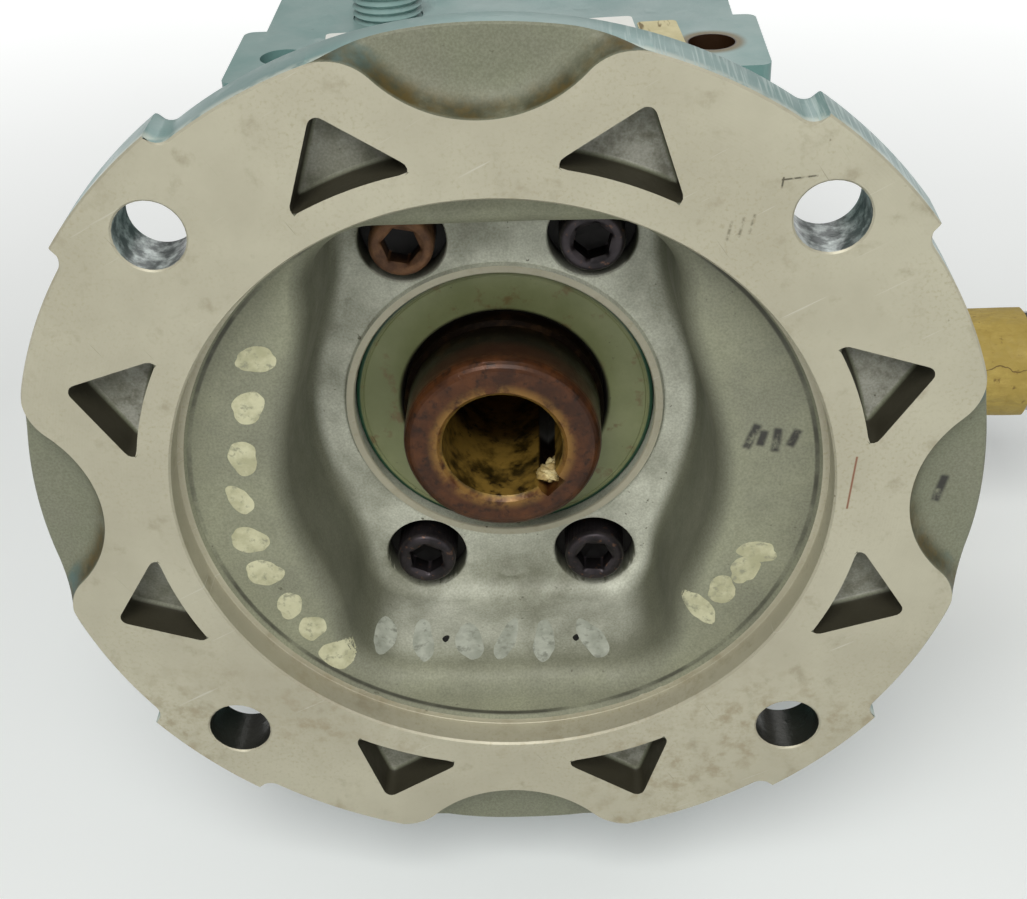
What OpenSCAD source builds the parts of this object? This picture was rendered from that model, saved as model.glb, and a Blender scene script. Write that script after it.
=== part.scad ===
// Right-angle worm gear reducer with a hollow motor input and one output shaft.
// Millimetres. The origin is the centre of the register on the machined motor face.
// +Y runs from the motor into the gearbox, +X towards the output shaft, +Z up.

/* [Motor flange] */
// Radius of the register bore that centres the motor
register_r = 57.15; // [54:0.05:58.5]
// Depth of the machined register
register_d = 5.5; // [4:0.1:6.2]
// Radius of the circle of the four motor bolts
motor_bolt_circle_r = 74.6125; // [73:0.0125:76]
// Radius of a motor bolt hole
motor_bolt_r = 5.95; // [4.5:0.05:6.5]
// Radius of the flange between its lobes
flange_r = 83.2; // [82:0.1:84.5]
// How far the four lobes stand out past the flange
lobe_rise = 2.8; // [1.5:0.1:4]
// Thickness of the flange rim
flange_t = 10.8; // [9:0.1:14]
// Depth of the four as-cast scallops
scallop_d = 4.7; // [2:0.1:6]
// Radius of a scallop's edge
scallop_r = 22; // [18:0.5:24]
// Depth of the eight triangular pockets
pocket_d = 7; // [3:0.1:8]
// Depth of the hub floor behind the machined face
hub_floor_y = 32.4; // [30:0.1:33]
// Half width of the recess round the hub
recess_half_w = 30.8; // [29:0.1:34]
// Height of the recess above the motor axis
recess_up = 48.7; // [46:0.1:49]
// Depth of the recess below the motor axis
recess_down = 45.7; // [44:0.1:47]
// Wall round the recess
cup_wall = 7; // [5:0.1:8]

/* [Input shaft] */
// Radius of the hollow input that takes the motor shaft
quill_bore_r = 11.11; // [9.5:0.01:12.7]
// Outside radius of the quill's free end
quill_r = 18.25; // [16.5:0.05:19]
// How far the quill's end lies behind the machined face
quill_y = 17.5; // [12:0.1:24]
// Depth of the quill's bore behind the machined face
quill_bore_y = 59; // [55:0.5:63]
// Width of the motor keyway
motor_key_w = 4.76; // [4:0.01:6.35]
// Height of the motor keyway above the shaft's axis
motor_key_top = 13.37; // [12.9:0.01:14.5]

/* [Gears] */
// Distance between the worm's axis and the wheel's axis
centre_distance = 50.8; // [50.3:0.05:51.3]
// Distance from the machined face to the output axis
out_y = 130; // [126:0.5:136]
// Pitch radius of the worm
worm_pitch_r = 15; // [14.5:0.1:15.5]
// Length of the threaded part of the worm
worm_length = 46; // [36:1:54]
// Width of the wheel's rim
rim_w = 22; // [16:1:26]
// Play between the teeth, measured along the pitch line
backlash = 0.3; // [0.2:0.05:0.5]

/* [Output shaft] */
// Radius of the output shaft
output_r = 12.7; // [11.5:0.05:12.8]
// How far the output shaft's end lies from the motor axis
output_end_x = 144; // [144:1:160]
// Width of the output keyway
output_key_w = 6.35; // [5:0.05:8]
// Depth of the output keyway
output_key_d = 3.2; // [2.5:0.05:4]
// Thickness of one layer of the paper wrap
wrap_t = 0.75; // [0.4:0.05:1]
// Length of the paper wrap
wrap_length = 62; // [40:0.5:62]

/* [Housing] */
// Half width of the housing
body_half_w = 44.8; // [44:0.1:47]
// How far the mounting ears stand out past the sides
ear_rise = 4.2; // [1:0.1:6]
// Length of a mounting ear along the housing
ear_length = 28; // [20:0.5:30]
// Thickness of a mounting ear
ear_t = 14; // [10:0.5:18]
// Height of the housing's top above the motor axis
top_z = 60; // [55:0.5:62]
// Depth of the housing's base below the motor axis
base_z = 105; // [105:0.5:112]
// Wall thickness of the housing
wall = 8; // [7:0.1:8.5]
// Spacing of the mounting holes across the housing
mount_x = 79; // [76:0.1:80]
// Spacing of the mounting holes along the housing
mount_y = 140; // [138:0.1:144]
// Radius of a mounting hole in the top
top_hole_r = 4.25; // [3.5:0.05:4.5]
// Radius of a mounting hole in the base
base_hole_r = 4; // [3.5:0.05:4.5]
// Depth of a mounting hole
mount_hole_d = 20; // [14:0.5:24]
// Radius of the left side cover
cover_r = 53; // [52.6:0.1:53.6]

/* [Hidden] */
$fn = 72;

// Overrun of every cut, clearance of every fixed seat and of every running fit
over = 1;
seat = 0.02;
running = 0.05;

// Flange: lobes, scallops, pockets, recess and hub. The circle of a scallop's blend crosses
// the rim and the scallop by blend_cross, where one that only touched them gives an open mesh
lobe_r = flange_r + lobe_rise;
lobe_half_angle = 10.4;
scallop_bite = 13.2;
scallop_out = flange_r - scallop_bite + scallop_r;
scallop_blend = 9;
blend_cross = 0.05;
ledge_w = 1.15;
ledge_d = 1;
pocket_inner_r = 63;
pocket_apex = [25.3, 72.1];
pocket_side = [9.5, 62.1];
pocket_far = [30.9, 54.4];
pocket_corner_r = 1.5;
recess_corner_r = 12;
recess_round_r = 38.2;
web_rise = 6;
web_l = 14;
hub_floor_t = 12.2;
hub_back_y = hub_floor_y + hub_floor_t;
spigot_l = 4.4;
spigot_t = 5.5;
weep_r = 0.65;
weep_x = 13;
seal_ring_rise = 0.8;
seal_ring_w = 1.6;

// Seals
seal_w = 8.5;
seal_wall = 1.8;
seal_sunk = 1.4;
spring_wire_r = 0.7;
input_seal_r = 28.575;
output_seal_r = 22.225;

// Screws of the flange
screw_x = 17;
screw_z = 35.1;
screw_r = 3.97;
screw_head_r = 5.95;
screw_head_h = 7.94;
screw_hex_r = 3.67;
screw_hex_d = 4;
screw_edge = 0.8;
screw_counterbore_r = 8.05;
screw_counterbore_d = 5.4;
screw_length = 22;
tap_over = 1.5;

// Bolts of the covers
bolt_r = 3.17;
bolt_head_r = 6.3;
bolt_head_h = 4.2;
bolt_length = 15;

// Sizes of the tapered roller bearings: the worm's front and rear one, and the output's two
front_bore_r = 19.05;
front_out_r = 32.544;
front_w = 18.034;
front_cone_w = 18.288;
front_cup_w = 13.97;
front_cup_t = 6;
front_roller_r = 3.1;
front_roller_l = 11.5;
rear_bore_r = 9.525;
rear_out_r = 22.6185;
rear_w = 15.494;
rear_cone_w = 16.637;
rear_cup_w = 12.065;
rear_cup_t = 5.2;
rear_roller_r = 3;
rear_roller_l = 9.5;
output_out_r = 25.146;
output_w = 14.224;
output_cone_w = 14.732;
output_cup_w = 10.668;
output_cup_t = 4.8;
output_roller_r = 2.7;
output_roller_l = 8.5;

// Each bearing as [bore radius, outside radius, width, cone width, cup width,
// cup thickness at its back, mean roller radius, roller length]
front_bearing = [
    front_bore_r, front_out_r, front_w, front_cone_w,
    front_cup_w, front_cup_t, front_roller_r, front_roller_l
];
rear_bearing = [
    rear_bore_r, rear_out_r, rear_w, rear_cone_w,
    rear_cup_w, rear_cup_t, rear_roller_r, rear_roller_l
];
output_bearing = [
    output_r, output_out_r, output_w, output_cone_w,
    output_cup_w, output_cup_t, output_roller_r, output_roller_l
];
front_rollers = 16;
rear_rollers = 12;
output_rollers = 14;
cup_angle = 14;
roller_taper = 1.75;
roller_angle = cup_angle - roller_taper;
cone_angle = cup_angle - 2 * roller_taper;
rib_share = 0.22;
back_rib_share = 0.6;
front_rib_share = 0.3;
rib_gap = 0.3;
cage_t = 1;
cage_lip = 1.5;
window_gap = 0.15;

// Places of the bearings and the faces that locate them
gasket_t = 0.4;
shim_t = 0.5;
front_y = hub_back_y + gasket_t;
rear_y = 2 * out_y - front_y;
landing_t = 2;
body_front_y = front_y + landing_t;
body_rear_y = rear_y - landing_t;
front_cup_y = hub_back_y + spigot_l;
rear_cup_y = rear_y - spigot_l - spigot_l;
front_cone_y = front_cup_y + front_bearing[2];
rear_cone_y = rear_cup_y - rear_bearing[2];
cup_inset = 4.6;
output_cup_x = body_half_w - cup_inset;
output_cone_x = output_cup_x - output_bearing[2];

// Worm and wheel
wheel_teeth = 30;
worm_starts = 2;
wheel_pitch_r = centre_distance - worm_pitch_r;
gear_module = 2 * wheel_pitch_r / wheel_teeth;
tooth_pitch = PI * gear_module;
worm_lead = worm_starts * tooth_pitch;
wheel_lead = 2 * PI * wheel_pitch_r * 2 * PI * worm_pitch_r / worm_lead;
pressure_angle = 20;
root_share = 1.2;
worm_tip_r = worm_pitch_r + gear_module;
worm_root_r = worm_pitch_r - root_share * gear_module;
wheel_tip_r = wheel_pitch_r + gear_module;
wheel_root_r = wheel_pitch_r - root_share * gear_module;
slices_per_turn = 24;
flank_steps = 3;

// Worm shaft
quill_round = 2.6;
quill_chamfer = 0.9;
seal_step_y = hub_floor_y - seal_ring_rise;
shoulder_r = 22.5;
shoulder_w = 7;
taper_w = 20;
worm_core_inset = 0.6;
worm_core_r = worm_root_r - worm_core_inset;
shaft_end_gap = 4;
end_chamfer = 1.2;
keyway_angle = -43;

// Wheel, hub, key and output shaft
rim_t = 3.5;
hub_half_l = 15;
hub_r = 22;
hub_web_half_w = 6;
hub_rim_w = 3;
wheel_seat_r = 14.29;
collar_r = 18;
wheel_key_l = 26;
output_keyway_l = 50;
shaft_stub = 2;
wrap_gap = 6;
ring_groove_w = 1.5;
ring_groove_d = 0.5;
ring_groove_bare = 0.5;
wrap_lap_angle = 300;

// Housing
body_corner_r = 4;
ear_corner_r = 2;
landing_edge = 1;
landing_r = cover_r + landing_edge;
side_landing_t = 1.5;
front_boss_r = 46;
front_boss_inset = 3;
front_boss_y = front_cone_y - front_boss_inset;
boss_gap = 1;
rear_boss_r = 30;
column_r = 9.5;
output_boss_r = 31;
right_boss_r = 34;
right_boss_draft = 1.5;
right_boss_x = 60;
shaft_hole_gap = 4.3;
tap_d = 8.2;

// Covers
cover_t = 8;
cover_spigot_r = 40.5;
cover_spigot_l = 9;
cover_spigot_t = 5.5;
cover_dome_r = 27;
cover_dome_h = 3;
cover_bolts = 6;
cover_bolt_in = 6.5;
cap_r = 36;
cap_t = 8;
cap_bolts = 4;
cap_bolt_in = 7;
edge = 1;

// Plugs
plug_r = 6.85;
plug_thread_d = 0.8;
plug_pitch = 1.41;
plug_hex_r = 3.67;
plug_hex_d = 5;
fill_place = [-21.7, 82];
fill_rise = 6;
side_rise = 3.2;
level_place = [48, -32];
drain_place = [0, -86];

// Labels and nameplate
label_t = 0.15;
label_turn = 4;
white_from = [-32, 49];
white_size = [58.6, 25];
yellow_from = [27.2, 51.5];
yellow_size = [7.4, 21];
plate_size = [60, 30];
plate_from = [100, 14];
plate_t = 0.8;
plate_pin_in = 3.5;
plate_pin_r = 1.2;
plate_pin_head_r = 2.1;
plate_pin_l = 5;

// A flat shape in X and Z, as seen from the motor, made solid from one Y to another
module slab(from, to) {
    translate([0, to, 0]) rotate([90, 0, 0]) linear_extrude(to - from) children();
}

// A cylinder or cone on the motor axis, from one Y to another
module rod(from, to, r_from, r_to) {
    translate([0, to, 0]) rotate([90, 0, 0]) cylinder(h = to - from, r1 = r_to, r2 = r_from);
}

// The motor axis, with z along +Y, and the same seen from the far end, with z along -Y
module on_input(y = 0) {
    translate([0, y, 0]) rotate([-90, 0, 0]) children();
}

module from_rear(y) {
    translate([0, y, 0]) rotate([90, 0, 0]) children();
}

// The output axis, with z along +X, and the same seen from the far end, with z along -X
module on_output(x = 0) {
    translate([x, out_y, -centre_distance]) rotate([0, 90, 0]) children();
}

module from_right(x) {
    translate([x, out_y, -centre_distance]) rotate([0, -90, 0]) children();
}

// A cylinder along z from one height to another
module bar(from, to, r) {
    translate([0, 0, from]) cylinder(h = to - from, r = r);
}

// A solid turned about z from an outline of [radius, height] points
module turned(points) {
    rotate_extrude() polygon(points);
}

// A rectangle with round corners, centred, from its half sizes
module round_rect(half_x, half_y, r) {
    square([2 * half_x - 2 * r, 2 * half_y], center = true);
    square([2 * half_x, 2 * half_y - 2 * r], center = true);
    for (x = [-1, 1], y = [-1, 1])
        translate([x * (half_x - r), y * (half_y - r)]) circle(r);
}

// The four places of a rectangle of holes, from its full spacings
module at_corners(x, y) {
    for (i = [-1, 1], j = [-1, 1]) translate([i * x / 2, j * y / 2]) children();
}

module around(count, r, start = 0) {
    for (i = [0:count - 1]) rotate(start + i * 360 / count) translate([r, 0]) children();
}

// Flange outline: a disc with four shallow lobes, each ended by a small cove
module flange_outline() {
    circle(flange_r);
    for (a = [45:90:315]) rotate(a) difference() {
        intersection() {
            circle(lobe_r);
            polygon([
                [0, 0],
                [lobe_r, -lobe_r * tan(lobe_half_angle)],
                [lobe_r, lobe_r * tan(lobe_half_angle)]
            ]);
        }
        for (s = [-1, 1]) rotate(s * lobe_half_angle) translate([lobe_r, 0]) circle(lobe_rise);
    }
}

// One scallop along +x, with the corners where it meets the rim rounded over
module scallop() {
    rim_r = flange_r - scallop_blend;
    arc_r = scallop_r + scallop_blend;
    mid_x = (rim_r ^ 2 - arc_r ^ 2 + scallop_out ^ 2) / (2 * scallop_out);
    mid_y = sqrt(rim_r ^ 2 - mid_x ^ 2);
    arc_dir = [mid_x - scallop_out, mid_y] / arc_r;
    rim_dir = [mid_x, mid_y] / rim_r;
    translate([scallop_out, 0]) circle(scallop_r);
    for (s = [-1, 1]) difference() {
        polygon([
            [mid_x, s * mid_y],
            [scallop_out + arc_dir.x * (scallop_r - seat), s * arc_dir.y * (scallop_r - seat)],
            [lobe_r + over, s * arc_dir.y * scallop_r],
            rim_dir.x * [lobe_r + over, 0] + rim_dir.y * [0, s * (lobe_r + over)]
        ]);
        translate([mid_x, s * mid_y]) circle(scallop_blend + blend_cross);
    }
}

// A triangle with round corners and straight sides, from its three corners in order
module round_triangle(a, b, c, r) {
    sides = [norm(b - c), norm(c - a), norm(a - b)];
    centre = (sides[0] * a + sides[1] * b + sides[2] * c) / (sides[0] + sides[1] + sides[2]);
    area_2 = abs((b - a).x * (c - a).y - (b - a).y * (c - a).x);
    inner_r = area_2 / (sides[0] + sides[1] + sides[2]);
    inset = [for (p = [a, b, c]) centre + (p - centre) * (inner_r - r) / inner_r];
    for (p = inset) translate(p) circle(r);
    polygon([
        for (i = [0:2])
            let (p = inset[i], q = inset[(i + 1) % 3], n = [(q - p).y, -(q - p).x] / norm(q - p))
            let (out = n * (p - centre) > 0 ? n : -n)
            for (e = [p, q]) e + out * r
    ]);
}

module pocket() {
    difference() {
        round_triangle(pocket_apex, pocket_side, pocket_far, pocket_corner_r);
        circle(pocket_inner_r);
    }
}

// The recess round the hub, and the cup's outside when grown by its wall
module recess_outline(grow = 0) {
    translate([0, (recess_up - recess_down) / 2])
        round_rect(recess_half_w + grow, (recess_up + recess_down) / 2 + grow, recess_corner_r + grow);
    circle(recess_round_r + grow);
}

module at_screws() {
    at_corners(2 * screw_x, 2 * screw_z) children();
}

module input_flange() {
    color("#8f9f9c") difference() {
        union() {
            slab(0, flange_t) flange_outline();
            rod(flange_t - over, flange_t + web_l, register_r + web_rise, recess_round_r + cup_wall);
            slab(flange_t, hub_back_y) recess_outline(cup_wall);
            rod(hub_back_y - over, front_cup_y, front_bearing[1] - seat, front_bearing[1] - seat);
        }
        rod(-over, register_d, register_r, register_r);
        rod(-over, register_d + ledge_d, register_r - ledge_w, register_r - ledge_w);
        difference() {
            slab(0, hub_floor_y) recess_outline();
            rod(
                hub_floor_y - seal_ring_rise, hub_floor_y + over,
                input_seal_r + seal_ring_w, input_seal_r + seal_ring_w
            );
        }
        rod(
            hub_floor_y - over, hub_floor_y + seal_sunk + seal_w,
            input_seal_r + seat, input_seal_r + seat
        );
        rod(hub_floor_y, front_cup_y + over, front_bearing[1] - spigot_t, front_bearing[1] - spigot_t);
        for (i = [0:3])
            slab(-over, flange_t + over)
                rotate(45 + 90 * i) translate([motor_bolt_circle_r, 0]) circle(motor_bolt_r);
        for (i = [0:3]) slab(-over, scallop_d) rotate(90 * i) scallop();
        for (i = [0:3], s = [0, 1])
            slab(-over, pocket_d) rotate(90 * i) mirror([s, 0]) pocket();
        slab(hub_floor_y - over, hub_floor_y + screw_counterbore_d)
            at_screws() circle(screw_counterbore_r);
        slab(hub_floor_y, hub_back_y + over) at_screws() circle(screw_r + seat);
        for (s = [-1, 1])
            translate([s * weep_x, quill_y, -recess_down - cup_wall - over])
                cylinder(h = cup_wall + 2 * over, r = weep_r);
    }
}

module flange_gasket() {
    color("#3a3d3a") difference() {
        slab(hub_back_y, front_y) recess_outline(cup_wall);
        rod(hub_back_y - over, front_y + over, front_bearing[1] + seat, front_bearing[1] + seat);
        slab(hub_back_y - over, front_y + over) at_screws() circle(screw_r + seat);
    }
}

module flange_screws() {
    seat_y = hub_floor_y + screw_counterbore_d;
    color("#35302e") for (x = [-1, 1], z = [-1, 1])
        translate([x * screw_x, seat_y - screw_head_h, z * screw_z]) rotate([-90, 0, 0])
            difference() {
                union() {
                    bar(screw_edge, screw_head_h, screw_head_r);
                    cylinder(h = screw_edge, r1 = screw_head_r - screw_edge, r2 = screw_head_r);
                    bar(0, screw_head_h + screw_length, screw_r);
                }
                translate([0, 0, -over]) cylinder(h = screw_hex_d + over, r = screw_hex_r, $fn = 6);
            }
}

// Lip seal: a pressed ring with a flat face, its lip running on a shaft, and a groove for the spring
module seal_ring(out_r, shaft_r) {
    lip_r = shaft_r + running;
    groove_r = lip_r + seal_wall + spring_wire_r;
    difference() {
        turned([
            [lip_r + seal_wall, 0], [out_r - seal_wall / 2, 0], [out_r, seal_wall / 2],
            [out_r, seal_w], [out_r - seal_wall, seal_w], [out_r - seal_wall, seal_wall],
            [groove_r + seal_wall, seal_wall], [groove_r, seal_w / 3], [groove_r, seal_w - seal_wall],
            [lip_r + seal_wall / 2, seal_w - seal_wall], [lip_r, seal_w / 2]
        ]);
        rotate_extrude() translate([groove_r, seal_w / 2]) circle(spring_wire_r + seat, $fn = 24);
    }
}

module seal_spring(shaft_r) {
    groove_r = shaft_r + running + seal_wall + spring_wire_r;
    rotate_extrude() translate([groove_r, seal_w / 2]) circle(spring_wire_r, $fn = 24);
}

module input_seal() {
    color("#6a7350") on_input(hub_floor_y + seal_sunk) seal_ring(input_seal_r, front_bearing[0]);
}

module input_seal_spring() {
    color("#b0b4b8") on_input(hub_floor_y + seal_sunk) seal_spring(front_bearing[0]);
}

module output_seal() {
    color("#6a7350") from_right(right_boss_x - seal_sunk) seal_ring(output_seal_r, output_r);
}

module output_seal_spring() {
    color("#b0b4b8") from_right(right_boss_x - seal_sunk) seal_spring(output_r);
}

// Tapered roller bearing: z is 0 at the back of the cup and ends at the back of the cone
function race_r(b, z) = b[1] - b[5] + z * tan(cup_angle);
function roller_big_r(b) = b[6] + b[7] / 2 * tan(roller_taper);
function roller_small_r(b) = b[6] - b[7] / 2 * tan(roller_taper);
function back_rib_z(b) = b[2] * (1 - rib_share);
function roller_z(b) =
    back_rib_z(b) - rib_gap - b[7] / 2 * cos(roller_angle) - roller_big_r(b) * sin(roller_angle);
function roller_gap(b) = b[6] * cos(roller_taper) + running;
function roller_path_r(b) = race_r(b, roller_z(b)) - roller_gap(b) / cos(cup_angle);
function cone_r(b, z) =
    roller_path_r(b) - roller_gap(b) / cos(cone_angle) + (z - roller_z(b)) * tan(cone_angle);
function front_rib_z(b) =
    roller_z(b) - b[7] / 2 * cos(roller_angle) - rib_gap;

module cup(b) {
    turned([[b[1], 0], [b[1], b[4]], [race_r(b, b[4]), b[4]], [race_r(b, 0), 0]]);
}

module cone(b) {
    back_z = back_rib_z(b);
    front_z = front_rib_z(b);
    turned([
        [b[0] + seat, b[2] - b[3]],
        [cone_r(b, front_z) + b[6] * front_rib_share, b[2] - b[3]],
        [cone_r(b, front_z) + b[6] * front_rib_share, front_z],
        [cone_r(b, front_z), front_z],
        [cone_r(b, back_z), back_z],
        [cone_r(b, back_z) + b[6] * back_rib_share, back_z],
        [cone_r(b, back_z) + b[6] * back_rib_share, b[2]],
        [b[0] + seat, b[2]]
    ]);
}

module rollers(b, count, grow = 0) {
    for (i = [0:count - 1])
        rotate([0, 0, i * 360 / count]) translate([roller_path_r(b), 0, roller_z(b)])
            rotate([0, roller_angle, 0])
                cylinder(
                    h = b[7] + 2 * grow,
                    r1 = roller_small_r(b) + grow,
                    r2 = roller_big_r(b) + grow,
                    center = true
                );
}

module cage(b, count) {
    half_l = b[7] / 2 * cos(roller_angle) + cage_lip;
    lean = half_l * tan(roller_angle);
    difference() {
        turned([
            [roller_path_r(b) - lean - cage_t / 2, roller_z(b) - half_l],
            [roller_path_r(b) - lean + cage_t / 2, roller_z(b) - half_l],
            [roller_path_r(b) + lean + cage_t / 2, roller_z(b) + half_l],
            [roller_path_r(b) + lean - cage_t / 2, roller_z(b) + half_l]
        ]);
        rollers(b, count, window_gap);
    }
}

module worm_front_cup() { color("#b8bcc0") on_input(front_cup_y) cup(front_bearing); }
module worm_front_cone() { color("#b8bcc0") on_input(front_cup_y) cone(front_bearing); }
module worm_front_cage() { color("#a08a50") on_input(front_cup_y) cage(front_bearing, front_rollers); }
module worm_front_rollers() {
    color("#d0d4d8") on_input(front_cup_y) rollers(front_bearing, front_rollers);
}

module worm_rear_cup() { color("#b8bcc0") from_rear(rear_cup_y) cup(rear_bearing); }
module worm_rear_cone() { color("#b8bcc0") from_rear(rear_cup_y) cone(rear_bearing); }
module worm_rear_cage() { color("#a08a50") from_rear(rear_cup_y) cage(rear_bearing, rear_rollers); }
module worm_rear_rollers() {
    color("#d0d4d8") from_rear(rear_cup_y) rollers(rear_bearing, rear_rollers);
}

module output_left_cup() { color("#b8bcc0") on_output(-output_cup_x) cup(output_bearing); }
module output_left_cone() { color("#b8bcc0") on_output(-output_cup_x) cone(output_bearing); }
module output_left_cage() {
    color("#a08a50") on_output(-output_cup_x) cage(output_bearing, output_rollers);
}
module output_left_rollers() {
    color("#d0d4d8") on_output(-output_cup_x) rollers(output_bearing, output_rollers);
}

module output_right_cup() { color("#b8bcc0") from_right(output_cup_x) cup(output_bearing); }
module output_right_cone() { color("#b8bcc0") from_right(output_cup_x) cone(output_bearing); }
module output_right_cage() {
    color("#a08a50") from_right(output_cup_x) cage(output_bearing, output_rollers);
}
module output_right_rollers() {
    color("#d0d4d8") from_right(output_cup_x) rollers(output_bearing, output_rollers);
}

// Worm: a straight-sided rack section wound into a right-hand helix about z, with a gap
// facing +y in the middle of its length
function worm_half_tooth(r) =
    tooth_pitch / 4 - backlash / 4 - (r - worm_pitch_r) * tan(pressure_angle);
function worm_point(r, side, start) =
    let (a = start * 360 / worm_starts + side * worm_half_tooth(r) * 360 / worm_lead)
    r * [cos(a), sin(a)];

module worm_section() {
    depth = worm_tip_r - worm_root_r;
    polygon([
        for (start = [0:worm_starts - 1])
            each concat(
                [for (i = [0:flank_steps])
                    worm_point(worm_root_r + depth * i / flank_steps, -1, start)],
                [for (i = [flank_steps:-1:0])
                    worm_point(worm_root_r + depth * i / flank_steps, 1, start)]
            )
    ]);
}

module worm_thread() {
    turns = worm_length / worm_lead;
    translate([0, 0, -worm_length / 2]) rotate(-180 * turns)
        linear_extrude(
            worm_length, twist = -360 * turns, slices = ceil(turns * slices_per_turn), segments = 0
        ) worm_section();
}

module worm_shaft() {
    end_y = rear_cup_y + shaft_end_gap;
    color("#7a5448") difference() {
        union() {
            on_input() turned([
                [0, quill_y],
                for (a = [0:15:90])
                    [quill_r - quill_round * (1 - sin(a)), quill_y + quill_round * (1 - cos(a))],
                [quill_r, seal_step_y - (front_bearing[0] - quill_r)],
                [front_bearing[0], seal_step_y],
                [front_bearing[0], front_cone_y],
                [shoulder_r, front_cone_y],
                [shoulder_r, front_cone_y + shoulder_w],
                [worm_core_r, front_cone_y + shoulder_w + taper_w],
                [worm_core_r, rear_cone_y],
                [rear_bearing[0], rear_cone_y],
                [rear_bearing[0], end_y - end_chamfer],
                [rear_bearing[0] - end_chamfer, end_y],
                [0, end_y]
            ]);
            on_input(out_y) worm_thread();
        }
        rod(quill_y - over, quill_bore_y, quill_bore_r, quill_bore_r);
        rod(
            quill_y, quill_y + quill_chamfer,
            quill_bore_r + quill_chamfer, quill_bore_r
        );
        slab(quill_y - over, quill_bore_y) rotate(keyway_angle)
            translate([0, -motor_key_w / 2]) square([motor_key_top, motor_key_w]);
    }
}

// Wheel: an involute section given the helix that meshes with the worm
function involute(base_r, r) = let (t = tan(acos(base_r / r))) t * 180 / PI - atan(t);
function wheel_half_tooth(r) =
    let (base_r = wheel_pitch_r * cos(pressure_angle), q = max(r, base_r))
    (tooth_pitch / 4 - backlash / 4) / wheel_pitch_r * 180 / PI
        + involute(base_r, wheel_pitch_r) - involute(base_r, q);

module wheel_section() {
    depth = wheel_tip_r - wheel_root_r;
    radii = [for (i = [0:flank_steps]) wheel_root_r + depth * i / flank_steps];
    polygon([
        for (tooth = [0:wheel_teeth - 1], side = [-1, 1], i = [0:flank_steps])
            let (r = side < 0 ? radii[i] : radii[flank_steps - i])
            let (a = tooth * 360 / wheel_teeth + side * wheel_half_tooth(r))
            r * [cos(a), sin(a)]
    ]);
}

module wheel_rim() {
    turn = 360 * rim_w / wheel_lead;
    color("#b08d4a") on_output() difference() {
        translate([0, 0, -rim_w / 2]) rotate(-turn / 2)
            linear_extrude(rim_w, twist = -turn, slices = 4) wheel_section();
        bar(-rim_w, rim_w, wheel_root_r - rim_t);
    }
}

module key_slot(from, to, r, depth, width) {
    translate([-r - depth, -width / 2, from]) cube([2 * depth, width, to - from]);
}

module wheel_hub() {
    seat_r = wheel_root_r - rim_t - seat;
    half = [
        [wheel_seat_r + seat, hub_half_l], [hub_r, hub_half_l], [hub_r, hub_web_half_w],
        [seat_r - hub_rim_w, hub_web_half_w], [seat_r - hub_rim_w, rim_w / 2], [seat_r, rim_w / 2]
    ];
    color("#6c706e") on_output() difference() {
        turned(concat(half, [for (i = [len(half) - 1:-1:0]) [half[i].x, -half[i].y]]));
        key_slot(-hub_half_l - over, hub_half_l + over, wheel_seat_r, output_key_d + seat,
            output_key_w + 2 * seat);
    }
}

module wheel_key() {
    color("#9a9ea2") on_output()
        key_slot(-wheel_key_l / 2, wheel_key_l / 2, wheel_seat_r, output_key_d, output_key_w);
}

module wheel_spacer() {
    color("#8a8e92") on_output() difference() {
        bar(-output_cone_x, -hub_half_l, collar_r);
        bar(-output_cone_x - over, -hub_half_l + over, wheel_seat_r + seat);
    }
}

module output_shaft() {
    left_x = -output_cup_x - shaft_stub;
    groove_x = right_boss_x + wrap_gap + wrap_length + ring_groove_bare;
    color("#a5a9ac") on_output() difference() {
        turned([
            [0, left_x], [output_r - end_chamfer, left_x], [output_r, left_x + end_chamfer],
            [output_r, -output_cone_x], [wheel_seat_r, -output_cone_x],
            [wheel_seat_r, hub_half_l], [collar_r, hub_half_l], [collar_r, output_cone_x],
            [output_r, output_cone_x], [output_r, groove_x - ring_groove_w],
            [output_r - ring_groove_d, groove_x - ring_groove_w], [output_r - ring_groove_d, groove_x],
            [output_r, groove_x], [output_r, output_end_x - end_chamfer],
            [output_r - end_chamfer, output_end_x], [0, output_end_x]
        ]);
        key_slot(-wheel_key_l / 2 - seat, wheel_key_l / 2 + seat, wheel_seat_r,
            output_key_d + seat, output_key_w + 2 * seat);
        key_slot(output_end_x - output_keyway_l, output_end_x + over, output_r, output_key_d,
            output_key_w);
    }
}

module shaft_wrap() {
    from = right_boss_x + wrap_gap;
    inner_r = output_r + seat;
    color("#c9a868") on_output() difference() {
        union() {
            bar(from, from + wrap_length, inner_r + wrap_t);
            translate([0, 0, from]) rotate_extrude(angle = wrap_lap_angle)
                translate([inner_r, 0]) square([2 * wrap_t, wrap_length]);
        }
        bar(from - over, from + wrap_length + over, inner_r);
    }
}

// A rectangle with round corners, from its corner and size, for stickers and the nameplate
module plain_plate(from, size, r, turn = 0) {
    translate(from + size / 2) rotate(turn) round_rect(size.x / 2, size.y / 2, r);
}

module white_label() {
    color("#f4f4ef") translate([0, 0, top_z]) linear_extrude(label_t)
        plain_plate(white_from, white_size, edge, label_turn);
}

module yellow_label() {
    color("#d8cf9a") translate([0, 0, top_z]) linear_extrude(label_t)
        plain_plate(yellow_from, yellow_size, edge, label_turn);
}

module at_plate() {
    translate([-body_half_w, 0, 0]) rotate([90, 0, -90]) mirror([1, 0, 0]) children();
}

module at_plate_pins() {
    translate(plate_from + plate_size / 2)
        at_corners(plate_size.x - 2 * plate_pin_in, plate_size.y - 2 * plate_pin_in) children();
}

module nameplate() {
    color("#c4c8ca") at_plate() linear_extrude(plate_t) difference() {
        plain_plate(plate_from, plate_size, 2 * edge);
        at_plate_pins() circle(plate_pin_r + seat);
    }
}

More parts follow.
